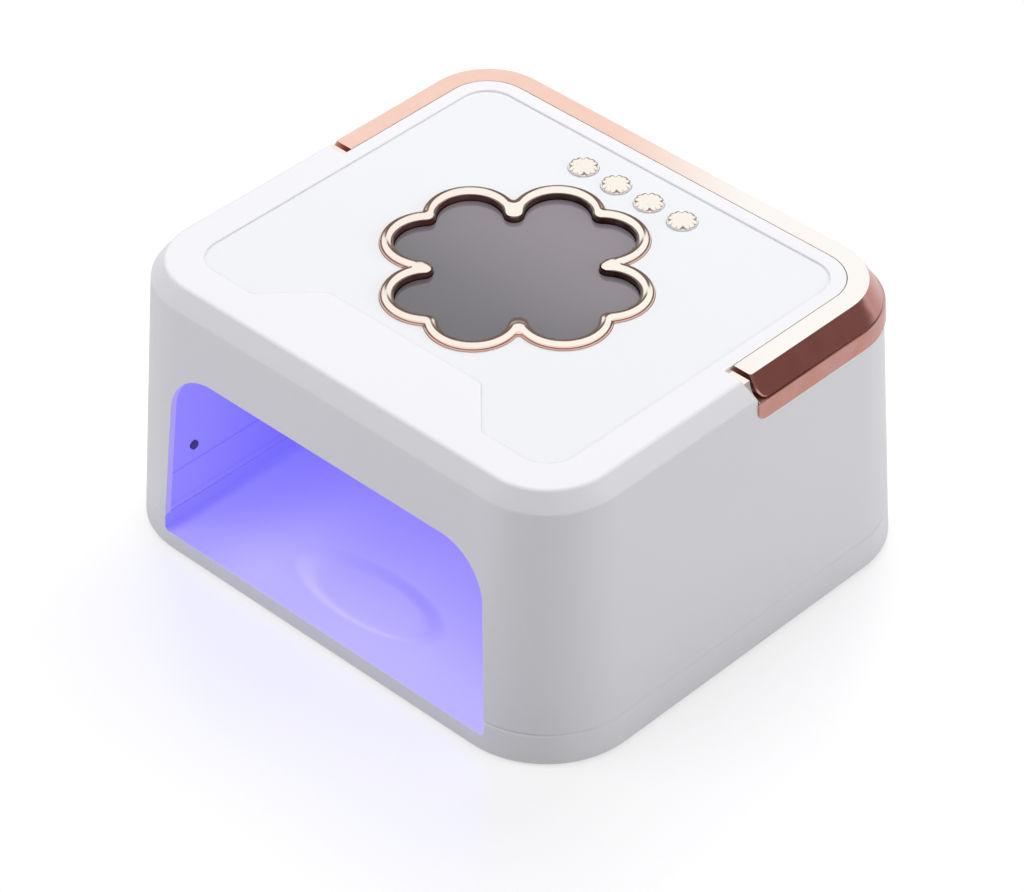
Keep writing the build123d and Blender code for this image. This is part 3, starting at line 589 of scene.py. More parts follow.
# Painted light: these finishes glow with the chamber's light painted on. seam_shade is painted shade in the liner's
# seam, and rim_lit a paler painted highlight on the arch's cut edge.
make_lit_finish("liner_white", (0.183, 0.156, 0.68), (0.272, 0.236, 0.68))
make_lit_finish("tray_wall_lit", (0.190, 0.162, 0.68), (0.240, 0.208, 0.68))
make_lit_finish("seam_shade", (0.060, 0.045, 0.36), (0.080, 0.060, 0.40), roughness=0.45)
make_lit_finish("rim_lit", (0.40, 0.35, 0.60), (0.44, 0.39, 0.62), glow=0.50)
material, tree, effect = make_lit_finish(
    "tray_floor_lit", (0.205, 0.174, 0.64), (0.430, 0.396, 0.60), depth=(0.030, -0.106), roughness=0.30
)
# Painted shade on the floor near the left wall.
effect.inputs["Side Shade"].default_value = 0.95
# The tilt attribute paints shade and highlight on the dish's slopes.
leaning = tree.nodes.new("ShaderNodeAttribute")
leaning.attribute_name = "tilt"
tree.links.new(leaning.outputs["Fac"], effect.inputs["Tilt"])
print("chamber finishes made")

# %% [markdown]
# Each small lamp is cast in clear resin and glows violet. Emission gives the glow, and a coat gives the
# sharp highlight of resin. Real glass would need many more light bounces for a piece that is barely seen.

# %% Lamp lens
def make_lamp_clear():
    values = {
        "Deep": (0.55, 0.46, 1.0, 1.0), "Pale": (0.74, 0.68, 1.0, 1.0),
        "Rear": 0.05, "Front": -0.09, "Top": 0.084, "Bottom": 0.076,
    }
    material, tree, shader, effect = start_finish("lamp_clear", violet_wash, values)
    tree.links.new(effect.outputs["Colour"], shader.inputs["Emission Color"])
    shader.inputs["Emission Strength"].default_value = 1.2
    shader.inputs["Roughness"].default_value = 0.08
    shader.inputs["Coat Weight"].default_value = 0.5
    return material


make_lamp_clear()
print(len(finishes), "finishes")

# %% [markdown]
# ## Violet light in the chamber
# One small area lamp under the chamber's roof stands for the twenty light-emitting lamps. Walls that only
# glow would look flat, and this lamp gives them back the shading of their curves. It rides with the case,
# and the camera doesn't see it.

# %% Chamber lamp
roof_low, roof_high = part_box("uv_lamps")
chamber_watts = 0.035

chamber_data = bpy.data.lights.new("chamber_lamp", "AREA")
chamber_data.shape = "RECTANGLE"
chamber_data.size = roof_high.x - roof_low.x
chamber_data.size_y = roof_high.y - roof_low.y
chamber_data.color = (0.36, 0.30, 0.66)
chamber_data.energy = chamber_watts
chamber_lamp = bpy.data.objects.new("chamber_lamp", chamber_data)
chamber_lamp.location = ((roof_low.x + roof_high.x) / 2, (roof_low.y + roof_high.y) / 2, roof_low.z - 1 * mm)
chamber_lamp.visible_camera = False
scene.collection.objects.link(chamber_lamp)
chamber_lamp.parent = frame["bodies"]["case"]
print("chamber lamp", [round(v / mm) for v in chamber_lamp.location], "mm")

# %% [markdown]
# ## Moulded pieces
# The case, tray, panel and trim already have the right form in the frame. What a solid lacks is the small
# radius that every moulded edge has and that catches light. A copy of the solid's mesh is welded, its flat
# faces are joined, and then its sharp edges are bevelled.

# %% Piece helpers
weld_gap = 0.002 * mm
hair = 0.01 * mm
flat_turn = math.radians(0.6)
sharp_turn = math.radians(32.0)


def welded_copy(node):
    bm = bmesh.new()
    bm.from_mesh(solids[node].data)
    bmesh.ops.remove_doubles(bm, verts=bm.verts, dist=weld_gap)
    bmesh.ops.dissolve_limit(bm, angle_limit=flat_turn, verts=bm.verts, edges=bm.edges)
    return bm


def sharp_edges(bm):
    return [e for e in bm.edges if len(e.link_faces) == 2 and e.calc_face_angle(0.0) > sharp_turn]


def ease(bm, edges, width, steps=2):
    return bmesh.ops.bevel(
        bm, geom=edges, offset=width, offset_type="OFFSET", segments=steps, profile=0.5,
        affect="EDGES", clamp_overlap=True,
    )["faces"]


def finish_piece(bm, name, body, node_names, finish_names):
    """Turns a bmesh into a piece that rides on a body in place of CAD nodes."""
    mesh = bpy.data.meshes.new(name)
    for face in bm.faces:
        face.smooth = True
    bm.to_mesh(mesh)
    bm.free()
    for finish_name in finish_names:
        mesh.materials.append(finishes[finish_name])
    mesh.set_sharp_from_angle(angle=sharp_turn)
    piece = bpy.data.objects.new(name, mesh)
    scene.collection.objects.link(piece)
    modifier = piece.modifiers.new("even_normals", "WEIGHTED_NORMAL")
    modifier.keep_sharp = True
    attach(piece, body)
    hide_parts(*node_names)
    print(f"{name}: {len(mesh.polygons)} faces on {body}")
    return piece


print("piece helpers ready")

# %% [markdown]
# The plated band sits in a shallow recess of the case's wall. The photographed one is a little narrower
# than the solid's, so its lower edge and the recess's edge are moved up together, along the leaning wall.

# %% Band foot
band_lift = 1.6 * mm
band_reach = 5.5 * mm
band_low, band_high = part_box("handle_trim")
band_mesh = solids["handle_trim"].data
band_tree = BVHTree.FromPolygons([v.co for v in band_mesh.vertices], [tuple(f.vertices) for f in band_mesh.polygons])


def lift_band_foot(bm):
    """Moves up the points that lie on the band's lower part; the lowest ones move most."""
    moved = 0
    for vertex in bm.verts:
        height = vertex.co.z - band_low.z
        if not -hair < height < band_reach or band_tree.find_nearest(vertex.co)[3] > 0.05 * mm:
            continue
        normal = band_tree.find_nearest(vertex.co + Vector((0, 0, 3 * mm)))[1]
        outward = Vector((normal.x, normal.y, 0)).normalized()
        if outward.dot(vertex.co) < 0:
            outward.negate()
        rise = band_lift * (1 - max(height, 0) / band_reach)
        lean = min(abs(normal.z) / max(normal.xy.length, 0.01), 0.1)
        vertex.co += Vector((0, 0, rise)) - outward * lean * rise
        moved += 1
    return moved


print("band", round(band_low.z / mm, 1), "to", round(band_high.z / mm, 1), "mm")

# %% [markdown]
# The case is one moulding with leaning walls, a rounded rim and an arch cut through its front. It could be
# modelled again from profiles, but the solid is already exact, so only its edges are eased: a little
# everywhere, and more along the panel's groove. The arch's cut edge takes a painted violet glow, the
# chamber's light painted on it.

# %% Case shell
case_edge = 0.35 * mm
groove_edge = 0.55 * mm
arch_y, arch_half = -88 * mm, 82 * mm
arch_foot, arch_crown = 13.6 * mm, 84 * mm
case_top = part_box("housing")[1].z
panel_low, panel_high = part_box("top_panel")


def on_groove(edge):
    """True for the rim's edge that runs along the panel's groove."""
    reach_x, reach_y = panel_high.x + 0.5 * mm, panel_high.y + 0.5 * mm
    near_top = all(v.co.z > case_top - 0.1 * mm for v in edge.verts)
    return near_top and all(abs(v.co.x) < reach_x and abs(v.co.y) < reach_y for v in edge.verts)


def on_arch(face):
    """True for the hand opening's cut through the front wall and its eased edge."""
    place = face.calc_center_median()
    return place.y < arch_y and abs(place.x) < arch_half and arch_foot < place.z < arch_crown


def make_case_shell():
    bm = welded_copy("housing")
    print("recess points moved", lift_band_foot(bm))
    eased = ease(bm, [e for e in sharp_edges(bm) if not on_groove(e)], case_edge)
    for face in bm.faces:
        # Painted light: the arch's cut faces and eased edge take rim_lit, a painted violet glow.
        face.material_index = 1 if on_arch(face) and (face in eased or abs(face.normal.y) < 0.5) else 0
    groove = [e for e in sharp_edges(bm) if on_groove(e)]
    ease(bm, groove, groove_edge, steps=3)
    return finish_piece(bm, "case_shell", "case", ["housing"], ["case_white", "rim_lit"])


make_case_shell()

# %% [markdown]
# The panel is a separate plate let into the rim, and a shallow groove runs round it. On the solid the
# groove is a deep chamfer. Lifting and widening the chamfer's foot makes it the soft line that it is on
# the real lamp, and costs less than a new outline.

# %% Top panel
def raise_groove(bm, bevel, lift, spread):
    """Lifts and widens the foot of the panel's bevel, so that the groove is shallow and has no deep gap."""
    foot = [v for v in bm.verts if abs(v.co.z - panel_high.z + bevel) < 0.02 * mm]
    moves = [Vector((v.normal.x, v.normal.y, 0)).normalized() * spread for v in foot]
    for vertex, move in zip(foot, moves):
        vertex.co += move + Vector((0, 0, lift))
    return len(foot)


def make_panel_plate():
    bm = welded_copy("top_panel")
    print("groove points", raise_groove(bm, bevel=0.6 * mm, lift=0.3 * mm, spread=0.2 * mm))
    ease(bm, sharp_edges(bm), 0.25 * mm, steps=3)
    return finish_piece(bm, "panel_plate", "case", ["top_panel"], ["panel_white"])


make_panel_plate()

# %% [markdown]
# ## The tray
# The tray's sunk floor is the floor of the chamber. With its cove and the rim's inner side it has the
# chamber's violet light painted on, and the rest is plain white plastic. Where a hand rests there is a
# shallow dish. On the solid it is a flat ellipse with a step; here the step gives way to rings that fall
# in a smooth curve.

# %% Dish
dish_rings = 18
dish_slope = 0.34


def fall_curve(share):
    """0 at the edge of the dish and 1 from where its slope ends, level at both."""
    part = min((1 - share) / dish_slope, 1.0)
    return part * part * (3 - 2 * part)


def dish_faces(bm, dish_z):
    """The dish's flat bottom and the step round it."""
    bottom = [f for f in bm.faces if f.normal.z > 0.9 and abs(f.calc_center_median().z - dish_z) < 0.1 * mm]
    low_verts = {v for f in bottom for v in f.verts}
    step = [f for f in bm.faces if abs(f.normal.z) < 0.1 and low_verts.intersection(f.verts)]
    return bottom + step


def open_ring(bm):
    """The vertices round the mesh's one hole, in order."""
    rim = [e for e in bm.edges if len(e.link_faces) == 1]
    ring = [rim[0].verts[0], rim[0].verts[1]]
    while True:
        beside = [e.other_vert(ring[-1]) for e in ring[-1].link_edges if len(e.link_faces) == 1]
        onward = [v for v in beside if v is not ring[-2]]
        if not onward or onward[0] is ring[0]:
            return ring
        ring.append(onward[0])


def soften_dish(bm, floor_z, dish_z):
    """Swaps the dish's flat bottom and step for smooth rings."""
    bmesh.ops.delete(bm, geom=dish_faces(bm, dish_z), context="FACES")
    ring = open_ring(bm)
    middle = sum((v.co for v in ring), Vector()) / len(ring)
    outer = ring
    for k in range(1, dish_rings):
        share = (1 - k / dish_rings) ** 0.6
        depth = floor_z - (floor_z - dish_z) * fall_curve(share)
        flat = [middle.lerp(v.co, share) for v in ring]
        inner = [bm.verts.new((p.x, p.y, depth)) for p in flat]
        for i in range(len(ring)):
            j = (i + 1) % len(ring)
            bm.faces.new((outer[i], outer[j], inner[j], inner[i]))
        outer = inner
    bm.faces.new(outer)
    bmesh.ops.recalc_face_normals(bm, faces=bm.faces)
    return len(ring)


print("dish of", dish_rings, "rings")

# %% [markdown]
# The tray is one moulding: a skirt that you grip, a rim that carries the case, and the sunk floor. Its
# faces are sorted by place and direction, so that one mesh takes three finishes without being cut up.

# %% Tray
floor_z = 7.0 * mm
dish_z = 5.0 * mm
chamber_low, chamber_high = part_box("reflector_skirt")


def in_chamber(place, clear=0.0):
    """True inside the liner's footprint, behind the front wall."""
    inside = chamber_low.x - clear < place.x < chamber_high.x + clear and place.y < chamber_high.y + clear
    return inside and place.y > chamber_low.y


def light_faces(bm, low_z, high_z):
    """Gives the second finish, with its painted violet light, to what the chamber's light falls on, and the first to
    the rest.
    """
    for face in bm.faces:
        place = face.calc_center_median()
        lit = in_chamber(place) and low_z < place.z < high_z and face.normal.z > -0.1
        face.material_index = 1 if lit else 0
    return sum(face.material_index for face in bm.faces)


def mark_tilt(mesh):
    """Light from the rear and right: what leans to the front and left is darker."""
    layer = mesh.attributes.new("tilt", "FLOAT", "POINT")
    for vertex in mesh.vertices:
        in_dish = dish_z - 0.1 * mm < vertex.co.z < floor_z - hair
        lean = 0.9 * vertex.normal.y + 0.6 * vertex.normal.x
        layer.data[vertex.index].value = lean * (0.6 if lean > 0 else 1.05) if in_dish else 0.0


def raise_lip(bm, wide, rise):
    """A thin lip on the rim's inner edge, which keeps light from leaking out under the case."""
    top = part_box("base_tray")[1].z
    edges = [e for e in sharp_edges(bm) if all(v.co.z > top - hair for v in e.verts)]
    inner = [e for e in edges if all(in_chamber(v.co, 1 * mm) for v in e.verts)]
    ease(bm, inner, wide, steps=1)
    crest = [v for v in bm.verts if abs(v.co.z - top + wide) < 0.03 * mm and in_chamber(v.co, 1 * mm)]
    for vertex in crest:
        vertex.co.z = top + rise
    return len(inner), len(crest)


def make_tray_piece():
    bm = welded_copy("base_tray")
    count = soften_dish(bm, floor_z, dish_z)
    print("lip edges and points", raise_lip(bm, wide=0.6 * mm, rise=0.385 * mm))
    rim_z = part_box("base_tray")[1].z
    ease(bm, [e for e in sharp_edges(bm) if max(v.co.z for v in e.verts) < rim_z + 0.1 * mm], 0.3 * mm)
    lit = light_faces(bm, dish_z - 0.1 * mm, rim_z + 0.35 * mm)
    # Painted light: lit walls above the floor take tray_wall_lit, and the rim's top stays plain white.
    for face in bm.faces:
        place = face.calc_center_median()
        if face.material_index and abs(face.normal.z) < 0.5 and place.z > floor_z + 1 * mm:
            face.material_index = 2
        if face.normal.z > 0.99 and place.z > rim_z - hair:
            face.material_index = 0
    print("dish ring of", count, "points, lit faces", lit)
    coats = ["case_white", "tray_floor_lit", "tray_wall_lit"]
    piece = finish_piece(bm, "lift_off_tray", "tray", ["base_tray"], coats)
    mark_tilt(piece.data)
    return piece


make_tray_piece()

# %% [markdown]
# ## The chamber's liner
# Two thin white mouldings line the chamber, a roof and a wall, and they meet in a seam. They could be
# lofted from the opening's arch, but the solids already have the right form and thickness, so their
# copies are only welded and shaded smooth. Their violet is painted light, and the faces next to the seam
# take a darker violet, painted shade in the seam's groove.

# %% Liner
seam_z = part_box("reflector_dome")[0].z
for node, name in (("reflector_dome", "liner_dome"), ("reflector_skirt", "liner_skirt")):
    bm = welded_copy(node)
    for face in bm.faces:
        face.material_index = 1 if abs(face.calc_center_median().z - seam_z) < 0.35 * mm else 0
    finish_piece(bm, name, "case", [node], ["liner_white", "seam_shade"])

# %% [markdown]
# The case's bottom cover closes the gap under the liner. Its upper side lies in the chamber's light and
# takes the liner's finish, with its painted light. Its inner edge stays sharp, because an eased one would
# show as a pale line.

# %% Bottom plate
def make_bottom_plate():
    bm = welded_copy("bottom_cover")
    low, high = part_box("bottom_cover")
    ease(bm, [e for e in sharp_edges(bm) if not all(in_chamber(v.co, 1 * mm) for v in e.verts)], 0.15 * mm)
    lit = light_faces(bm, low.z - 0.1 * mm, high.z + 0.1 * mm)
    for face in bm.faces:
        if face.normal.z > 0.99:
            face.material_index = 1
    print("lit faces on the bottom plate", lit)
    return finish_piece(bm, "bottom_plate", "case", ["bottom_cover"], ["case_white", "liner_white"])


make_bottom_plate()

# %% [markdown]
# ## The clover frame
# The frame's outline is eight round lobes joined by small round notches. Drawn in by any distance, its
# lobes keep their centres and shrink, while its notches grow softer. The frame's section is then a list
# of steps, each with how far in it lies and how high, and every step is one closed outline.

# %% Clover outline
frame_low, frame_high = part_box("clover_bezel")
lens_low, lens_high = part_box("display_lens")
clover_reach = frame_high.x
lobe_r = 0.347 * clover_reach
lobe_far = clover_reach - lobe_r
lobe_near = 0.212 * clover_reach
frame_wide = 5.0 * mm
outer_notch_r = 1.2 * mm
inner_notch_r = 3.4 * mm
lobe_steps = 26
notch_steps = 8


def lobe_centres():
    quarter = [(lobe_far, lobe_near), (lobe_near, lobe_far)]
    centres = []
    for turn in range(4):
        c, s = math.cos(turn * math.pi / 2), math.sin(turn * math.pi / 2)
        centres += [Vector((c * x - s * y, s * x + c * y)) for x, y in quarter]
    return centres


def notch_radius(inward):
    """From the outer notch's radius to the inner one's, and then on as a parallel line."""
    share = min(inward / frame_wide, 1.0)
    return outer_notch_r + (inner_notch_r - outer_notch_r) * share + max(inward - frame_wide, 0.0)


def notch_centre(first, second, touch):
    """The centre of the small arc that touches two lobes from outside; touch is the two radii's sum."""
    middle = (first + second) / 2
    half = (second - first).length / 2
    return middle + middle.normalized() * math.sqrt(touch ** 2 - half ** 2)


def clover_outline(inward):
    """Closed outline, drawn in by a distance, as (x, y) points in the same order for every distance."""
    lobes = lobe_centres()
    round_r = lobe_r - inward
    notch_r = notch_radius(inward)
    notches = [notch_centre(lobes[i], lobes[(i + 1) % 8], round_r + notch_r) for i in range(8)]
    points = []
    for i, lobe in enumerate(lobes):
        back = notches[i - 1] - lobe
        ahead = notches[i] - lobe
        start = math.atan2(back.y, back.x)
        sweep = (math.atan2(ahead.y, ahead.x) - start) % (2 * math.pi)
        for k in range(lobe_steps):
            angle = start + sweep * k / lobe_steps
            points.append(lobe + round_r * Vector((math.cos(angle), math.sin(angle))))
        to_lobe = lobe - notches[i]
        to_next = lobes[(i + 1) % 8] - notches[i]
        start = math.atan2(to_lobe.y, to_lobe.x)
        sweep = (math.atan2(to_next.y, to_next.x) - start + math.pi) % (2 * math.pi) - math.pi
        for k in range(notch_steps):
            angle = start + sweep * k / notch_steps
            points.append(notches[i] + notch_r * Vector((math.cos(angle), math.sin(angle))))
    return points


print("outline of", len(clover_outline(0.0)), "points")

# %% [markdown]
# The frame is a plated ring with a rounded section. A bevel on a plain ring would pinch at the notches.
# Here every step of the section is an outline of its own, so that lobes and notches stay round.

# %% Clover frame
def frame_section():
    """(inward, height) from the outer foot over the flat-rounded top to the inner foot."""
    round_r = 1.5 * mm
    crown = 0.35 * mm
    top = frame_high.z
    steps = [(0.0, frame_low.z), (0.0, top - crown - round_r)]
    for k in range(1, 6):
        angle = math.pi / 2 * k / 5
        steps.append((round_r * (1 - math.cos(angle)), top - crown - round_r * (1 - math.sin(angle))))
    for share in (0.25, 0.5, 0.75):
        across = round_r + (frame_wide - 2 * round_r) * share
        steps.append((across, top - crown * abs(2 * share - 1)))
    for k in range(0, 5):
        angle = math.pi / 2 * (1 - k / 5)
        steps.append((frame_wide - round_r * (1 - math.cos(angle)), top - crown - round_r * (1 - math.sin(angle))))
    steps.append((frame_wide, top - crown - round_r))
    steps.append((frame_wide, frame_low.z))
    return steps


def sweep_rings(bm, rings, close):
    """Joins rings of points with quads, and the last ring with the first one if close is true."""
    made = [[bm.verts.new(p) for p in ring] for ring in rings]
    count = len(made[0])
    pairs = list(zip(made, made[1:])) + ([(made[-1], made[0])] if close else [])
    faces = []
    for number, (lower, upper) in enumerate(pairs):
        for i in range(count):
            j = (i + 1) % count
            face = bm.faces.new((lower[i], lower[j], upper[j], upper[i]))
            faces.append((number, face))
    return made, faces


def make_clover_frame():
    bm = bmesh.new()
    steps = frame_section()
    rings = [[(p.x, p.y, z) for p in clover_outline(inward)] for inward, z in steps]
    made, faces = sweep_rings(bm, rings, close=True)
    inner_from = len(steps) - 3
    # Painted reflection: the inner wall takes rose_gold_deep, painted dark where it mirrors the window, the outer wall
    # and its lower rounding take rose_gold, and the top the paler copy.
    for number, face in faces:
        face.material_index = 1 if number >= inner_from else 2 if number < 4 else 0
    bmesh.ops.recalc_face_normals(bm, faces=bm.faces)
    coats = ["rose_gold_pale", "rose_gold_deep", "rose_gold"]
    return finish_piece(bm, "clover_frame", "case", ["clover_bezel"], coats)


make_clover_frame()

# %% [markdown]
# The window fits inside the frame, so it uses the frame's outline, drawn in a little more, with a small
# bevel at its upper edge.

# %% Smoked window
def make_window():
    bm = bmesh.new()
    gap = frame_wide + 0.1 * mm
    edge = 0.25 * mm
    heights = [(gap, lens_low.z), (gap, lens_high.z - edge), (gap + edge, lens_high.z)]
    rings = [[(p.x, p.y, z) for p in clover_outline(inward)] for inward, z in heights]
    made, faces = sweep_rings(bm, rings, close=False)
    bm.faces.new(made[-1])
    bm.faces.new(list(reversed(made[0])))
    bmesh.ops.recalc_face_normals(bm, faces=bm.faces)
    return finish_piece(bm, "clover_window", "case", ["display_lens"], ["smoked_lens"])


make_window()

# %% [markdown]
# ## The keys
# Each key is a small plated clover. Its height and its edge are both functions of the angle: four deep
# notches part its leaves, each leaf's edge has three petals with creases between them, and a shallow spiral
# is pressed into the top. A grid of rings and spokes samples those functions. A round white collar at the
# clover's foot nearly fills the panel's hole.

# %% Keys
key_r = 5.3 * mm
collar_r = 5.5 * mm
collar_low = 1.06 * mm
flange_r = 6.0 * mm
flange_thick = 0.9 * mm
petals = 12
key_spokes = 144
key_rings = 18


def leaf_notch(angle):
    """1 in the middle of a notch between two leaves, 0 away from it."""
    return abs(math.sin(2 * angle)) ** 18


def key_point(centre, share, angle, top, skirt):
    """A point of the clover; share runs from 0 in the middle to 1 at the rim."""
    petal = abs(math.cos(petals * angle / 2)) ** 0.45
    rim = key_r * (0.955 + 0.045 * petal - 0.16 * leaf_notch(angle))
    radius = rim * share
    crease = (1 - petal) * max(share - 0.78, 0.0) / 0.22
    spiral = math.sin(2 * angle - 9.0 * share) * math.exp(-((share - 0.45) / 0.28) ** 2)
    curl = math.sin(5 * angle + 7.0 * share) * share ** 4
    fall = 0.03 + 0.42 * share ** 14 + 0.50 * crease + 0.03 * spiral + 0.02 * curl
    return (centre.x + radius * math.cos(angle), centre.y + radius * math.sin(angle), max(top - fall * mm, skirt))


def round_ring(centre, radius, z, steps):
    """Points of a level circle, as (x, y, z)."""
    angles = [2 * math.pi * i / steps for i in range(steps)]
    return [(centre.x + radius * math.cos(a), centre.y + radius * math.sin(a), z) for a in angles]


def add_key_stem(bm, centre, skirt, foot):
    """Flange and stem under the cap, as a turned profile."""
    low = skirt - flange_thick
    profile = [(flange_r, skirt), (flange_r, low), (2.2 * mm, low - 0.2 * mm), (1.8 * mm, foot)]
    made, faces = sweep_rings(bm, [round_ring(centre, r, z, 24) for r, z in profile], close=False)
    bm.faces.new(made[0])
    bm.faces.new(list(reversed(made[-1])))


def make_key(number):
    low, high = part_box(f"button_{number}")
    centre = (low + high) / 2
    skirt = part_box("top_panel")[0].z - 0.2 * mm
    angles = [2 * math.pi * i / key_spokes for i in range(key_spokes)]
    rings = []
    for k in range(1, key_rings + 1):
        share = (k / key_rings) ** 0.8
        rings.append([key_point(centre, share, a, high.z, skirt) for a in angles])
    collar = high.z - collar_low
    rim = [centre.lerp(Vector(p), 0.99) for p in rings[-1]]
    rings.append([(p.x, p.y, collar) for p in rim])
    rings += [round_ring(centre, collar_r, z, key_spokes) for z in (collar, skirt)]
    bm = bmesh.new()
    made, faces = sweep_rings(bm, rings, close=False)
    hub = bm.verts.new((centre.x, centre.y, high.z - 0.03 * mm))
    for i in range(key_spokes):
        bm.faces.new((made[0][(i + 1) % key_spokes], made[0][i], hub))
    bm.faces.new(list(reversed(made[-1])))
    cap = set(bm.faces)
    add_key_stem(bm, centre, skirt, low.z)
    bmesh.ops.recalc_face_normals(bm, faces=bm.faces)
    # Painted reflection and shade on the plating: the cap's walls take the paler satin copy, and the walls in the leaf
    # notches the darker shelf copy, painted shade.
    for face in bm.faces:
        middle = face.calc_center_median()
        out = middle - centre
        if face not in cap or middle.z < collar + hair:
            face.material_index = 1
        elif abs(face.normal.z) < 0.5:
            face.material_index = 3 if leaf_notch(math.atan2(out.y, out.x)) > 0.2 else 2
    coats = ["rose_gold_pale", "panel_white", "rose_gold_satin", "rose_gold_shelf"]
    return finish_piece(bm, f"flower_key_{number}", f"key_{number}", [f"button_{number}"], coats)


for number in range(1, 5):
    make_key(number)

# %% [markdown]
# ## Carry handle and its trim
# The handle is a strip whose flat top and sloping side meet in a crisp but rounded edge. The trim under it
# is a thin band round the case's rear. Both could be swept along the rim, but the gaps between them are a
# fraction of a millimetre, so bevelled copies of the solids are safer. Each face takes a painted
# reflection, a tone set by the way it faces.

# %% Handle and trim
handle_low, handle_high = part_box("handle")


def make_handle_piece():
    """The strip: its outer slope and front faces take a painted reflection, a redder copy of the plating, and only its
    lower edge stays crisp.
    """
    bm = welded_copy("handle")
    for face in bm.faces:
        outward = face.calc_center_median().xy.normalized()
        slope = face.normal.z < 0.9 and face.normal.xy.dot(outward) > 0.3
        face.material_index = 1 if slope or face.normal.y < -0.9 else 0
    edges = [e for e in sharp_edges(bm) if max(v.co.z for v in e.verts) > handle_low.z + 1 * mm]
    ease(bm, edges, 0.5 * mm, steps=3)
    for vertex in bm.verts:
        if vertex.co.z < handle_low.z + 0.02 * mm and vertex.co.y > 15 * mm:
            vertex.co.z -= 0.2 * mm
    return finish_piece(bm, "carry_strip", "carry_handle", ["handle"], ["rose_gold", "rose_gold_side"])


def make_trim_piece():
    """The band, with painted reflection on its stubs in the strip's paler tones, and painted shade on its hidden shelf
    in the darker one.
    """
    bm = welded_copy("handle_trim")
    lift_band_foot(bm)
    for face in bm.faces:
        if face.calc_center_median().z > handle_low.z:
            face.material_index = 1 if face.normal.z > 0.9 else 2
        elif face.normal.z > 0.9:
            face.material_index = 3
    ledge = handle_low.z - 0.5 * mm
    ease(bm, [e for e in sharp_edges(bm) if not all(ledge < v.co.z < handle_low.z for v in e.verts)], 0.25 * mm)
    coats = ["rose_gold_trim", "rose_gold_pale", "rose_gold_satin", "rose_gold_shelf"]
    return finish_piece(bm, "handle_band", "case", ["handle_trim"], coats)


make_handle_piece()
make_trim_piece()

# %% [markdown]
# ## What repeats
# Screws, feet and lamps are each one small shape at the points of a grid, which is what Geometry Nodes are
# for. The tree below makes a grid of points and puts a shape on each. Its sizes are named inputs.

# %% Geometry node helpers
def start_tree(name, inputs):
    tree = bpy.data.node_groups.new(name, "GeometryNodeTree")
    tree.interface.new_socket("Geometry", in_out="OUTPUT", socket_type="NodeSocketGeometry")
    for label, kind in inputs:
        tree.interface.new_socket(label, in_out="INPUT", socket_type=kind)
    taken = tree.nodes.new("NodeGroupInput").outputs
    given = tree.nodes.new("NodeGroupOutput").inputs
    return tree, taken, given


def add_node(tree, kind, links=None, values=None, settings=None):
    node = tree.nodes.new(kind)
    for label, value in (settings or {}).items():
        setattr(node, label, value)
    for label, value in (values or {}).items():
        node.inputs[label].default_value = value
    for label, source in (links or {}).items():
        tree.links.new(source, node.inputs[label])
    return node


def combine(tree, x=None, y=None, z=None):
    node = tree.nodes.new("ShaderNodeCombineXYZ")
    for label, source in (("X", x), ("Y", y), ("Z", z)):
        if source is not None:
            tree.links.new(source, node.inputs[label])
    return node.outputs[0]


def times(tree, source, factor):
    return math_node(tree, "MULTIPLY", source, factor)


def raised(tree, shape, z):
    """The shape, moved up."""
    return add_node(tree, "GeometryNodeTransform", {"Geometry": shape, "Translation": combine(tree, z=z)}).outputs[0]


def joined(tree, shapes):
    node = tree.nodes.new("GeometryNodeJoinGeometry")
    for shape in shapes:
        tree.links.new(shape, node.inputs[0])
    return node.outputs[0]


def rod(tree, radius, depth, sides):
    sizes = {"Radius": radius, "Depth": depth}
    return add_node(tree, "GeometryNodeMeshCylinder", sizes, {"Vertices": sides}).outputs["Mesh"]


def set_out(tree, taken, given, shape):
    """Puts the shape on the grid's points, moves it to its place and ends the tree."""
    grid = add_node(tree, "GeometryNodeMeshGrid", {
        "Size X": taken["Size X"], "Size Y": taken["Size Y"],
        "Vertices X": taken["Columns"], "Vertices Y": taken["Rows"],
    })
    spread = add_node(tree, "GeometryNodeInstanceOnPoints", {"Points": grid.outputs["Mesh"], "Instance": shape})
    placed = add_node(tree, "GeometryNodeTransform", {"Geometry": spread.outputs[0], "Translation": taken["Place"]})
    real = add_node(tree, "GeometryNodeRealizeInstances", {"Geometry": placed.outputs[0]})
    dressed = add_node(tree, "GeometryNodeSetMaterial", {"Geometry": real.outputs[0], "Material": taken["Material"]})
    tree.links.new(dressed.outputs[0], given["Geometry"])


grid_inputs = [
    ("Columns", "NodeSocketInt"), ("Rows", "NodeSocketInt"),
    ("Size X", "NodeSocketFloat"), ("Size Y", "NodeSocketFloat"),
    ("Place", "NodeSocketVector"), ("Material", "NodeSocketMaterial"),
]


def grow_piece(tree, name, values, body, node):
    """Runs a tree on an empty mesh and keeps the result as a plain mesh."""
    host = bpy.data.objects.new(name, bpy.data.meshes.new(name + "_seed"))
    scene.collection.objects.link(host)
    modifier = host.modifiers.new("grow", "NODES")
    modifier.node_group = tree
    for item in tree.interface.items_tree:
        if item.item_type == "SOCKET" and item.in_out == "INPUT" and item.name in values:
            modifier[item.identifier] = values[item.name]
    ready = host.evaluated_get(bpy.context.evaluated_depsgraph_get())
    mesh = bpy.data.meshes.new_from_object(ready)
    host.modifiers.remove(modifier)
    host.data = mesh
    mesh.name = name
    mesh.materials.clear()
    mesh.materials.append(values["Material"])
    mesh.polygons.foreach_set("material_index", [0] * len(mesh.polygons))
    mesh.set_sharp_from_angle(angle=sharp_turn)
    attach(host, body)
    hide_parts(node)
    print(f"{name}: {len(mesh.polygons)} faces on {body}")
    return host


print("geometry node helpers ready")

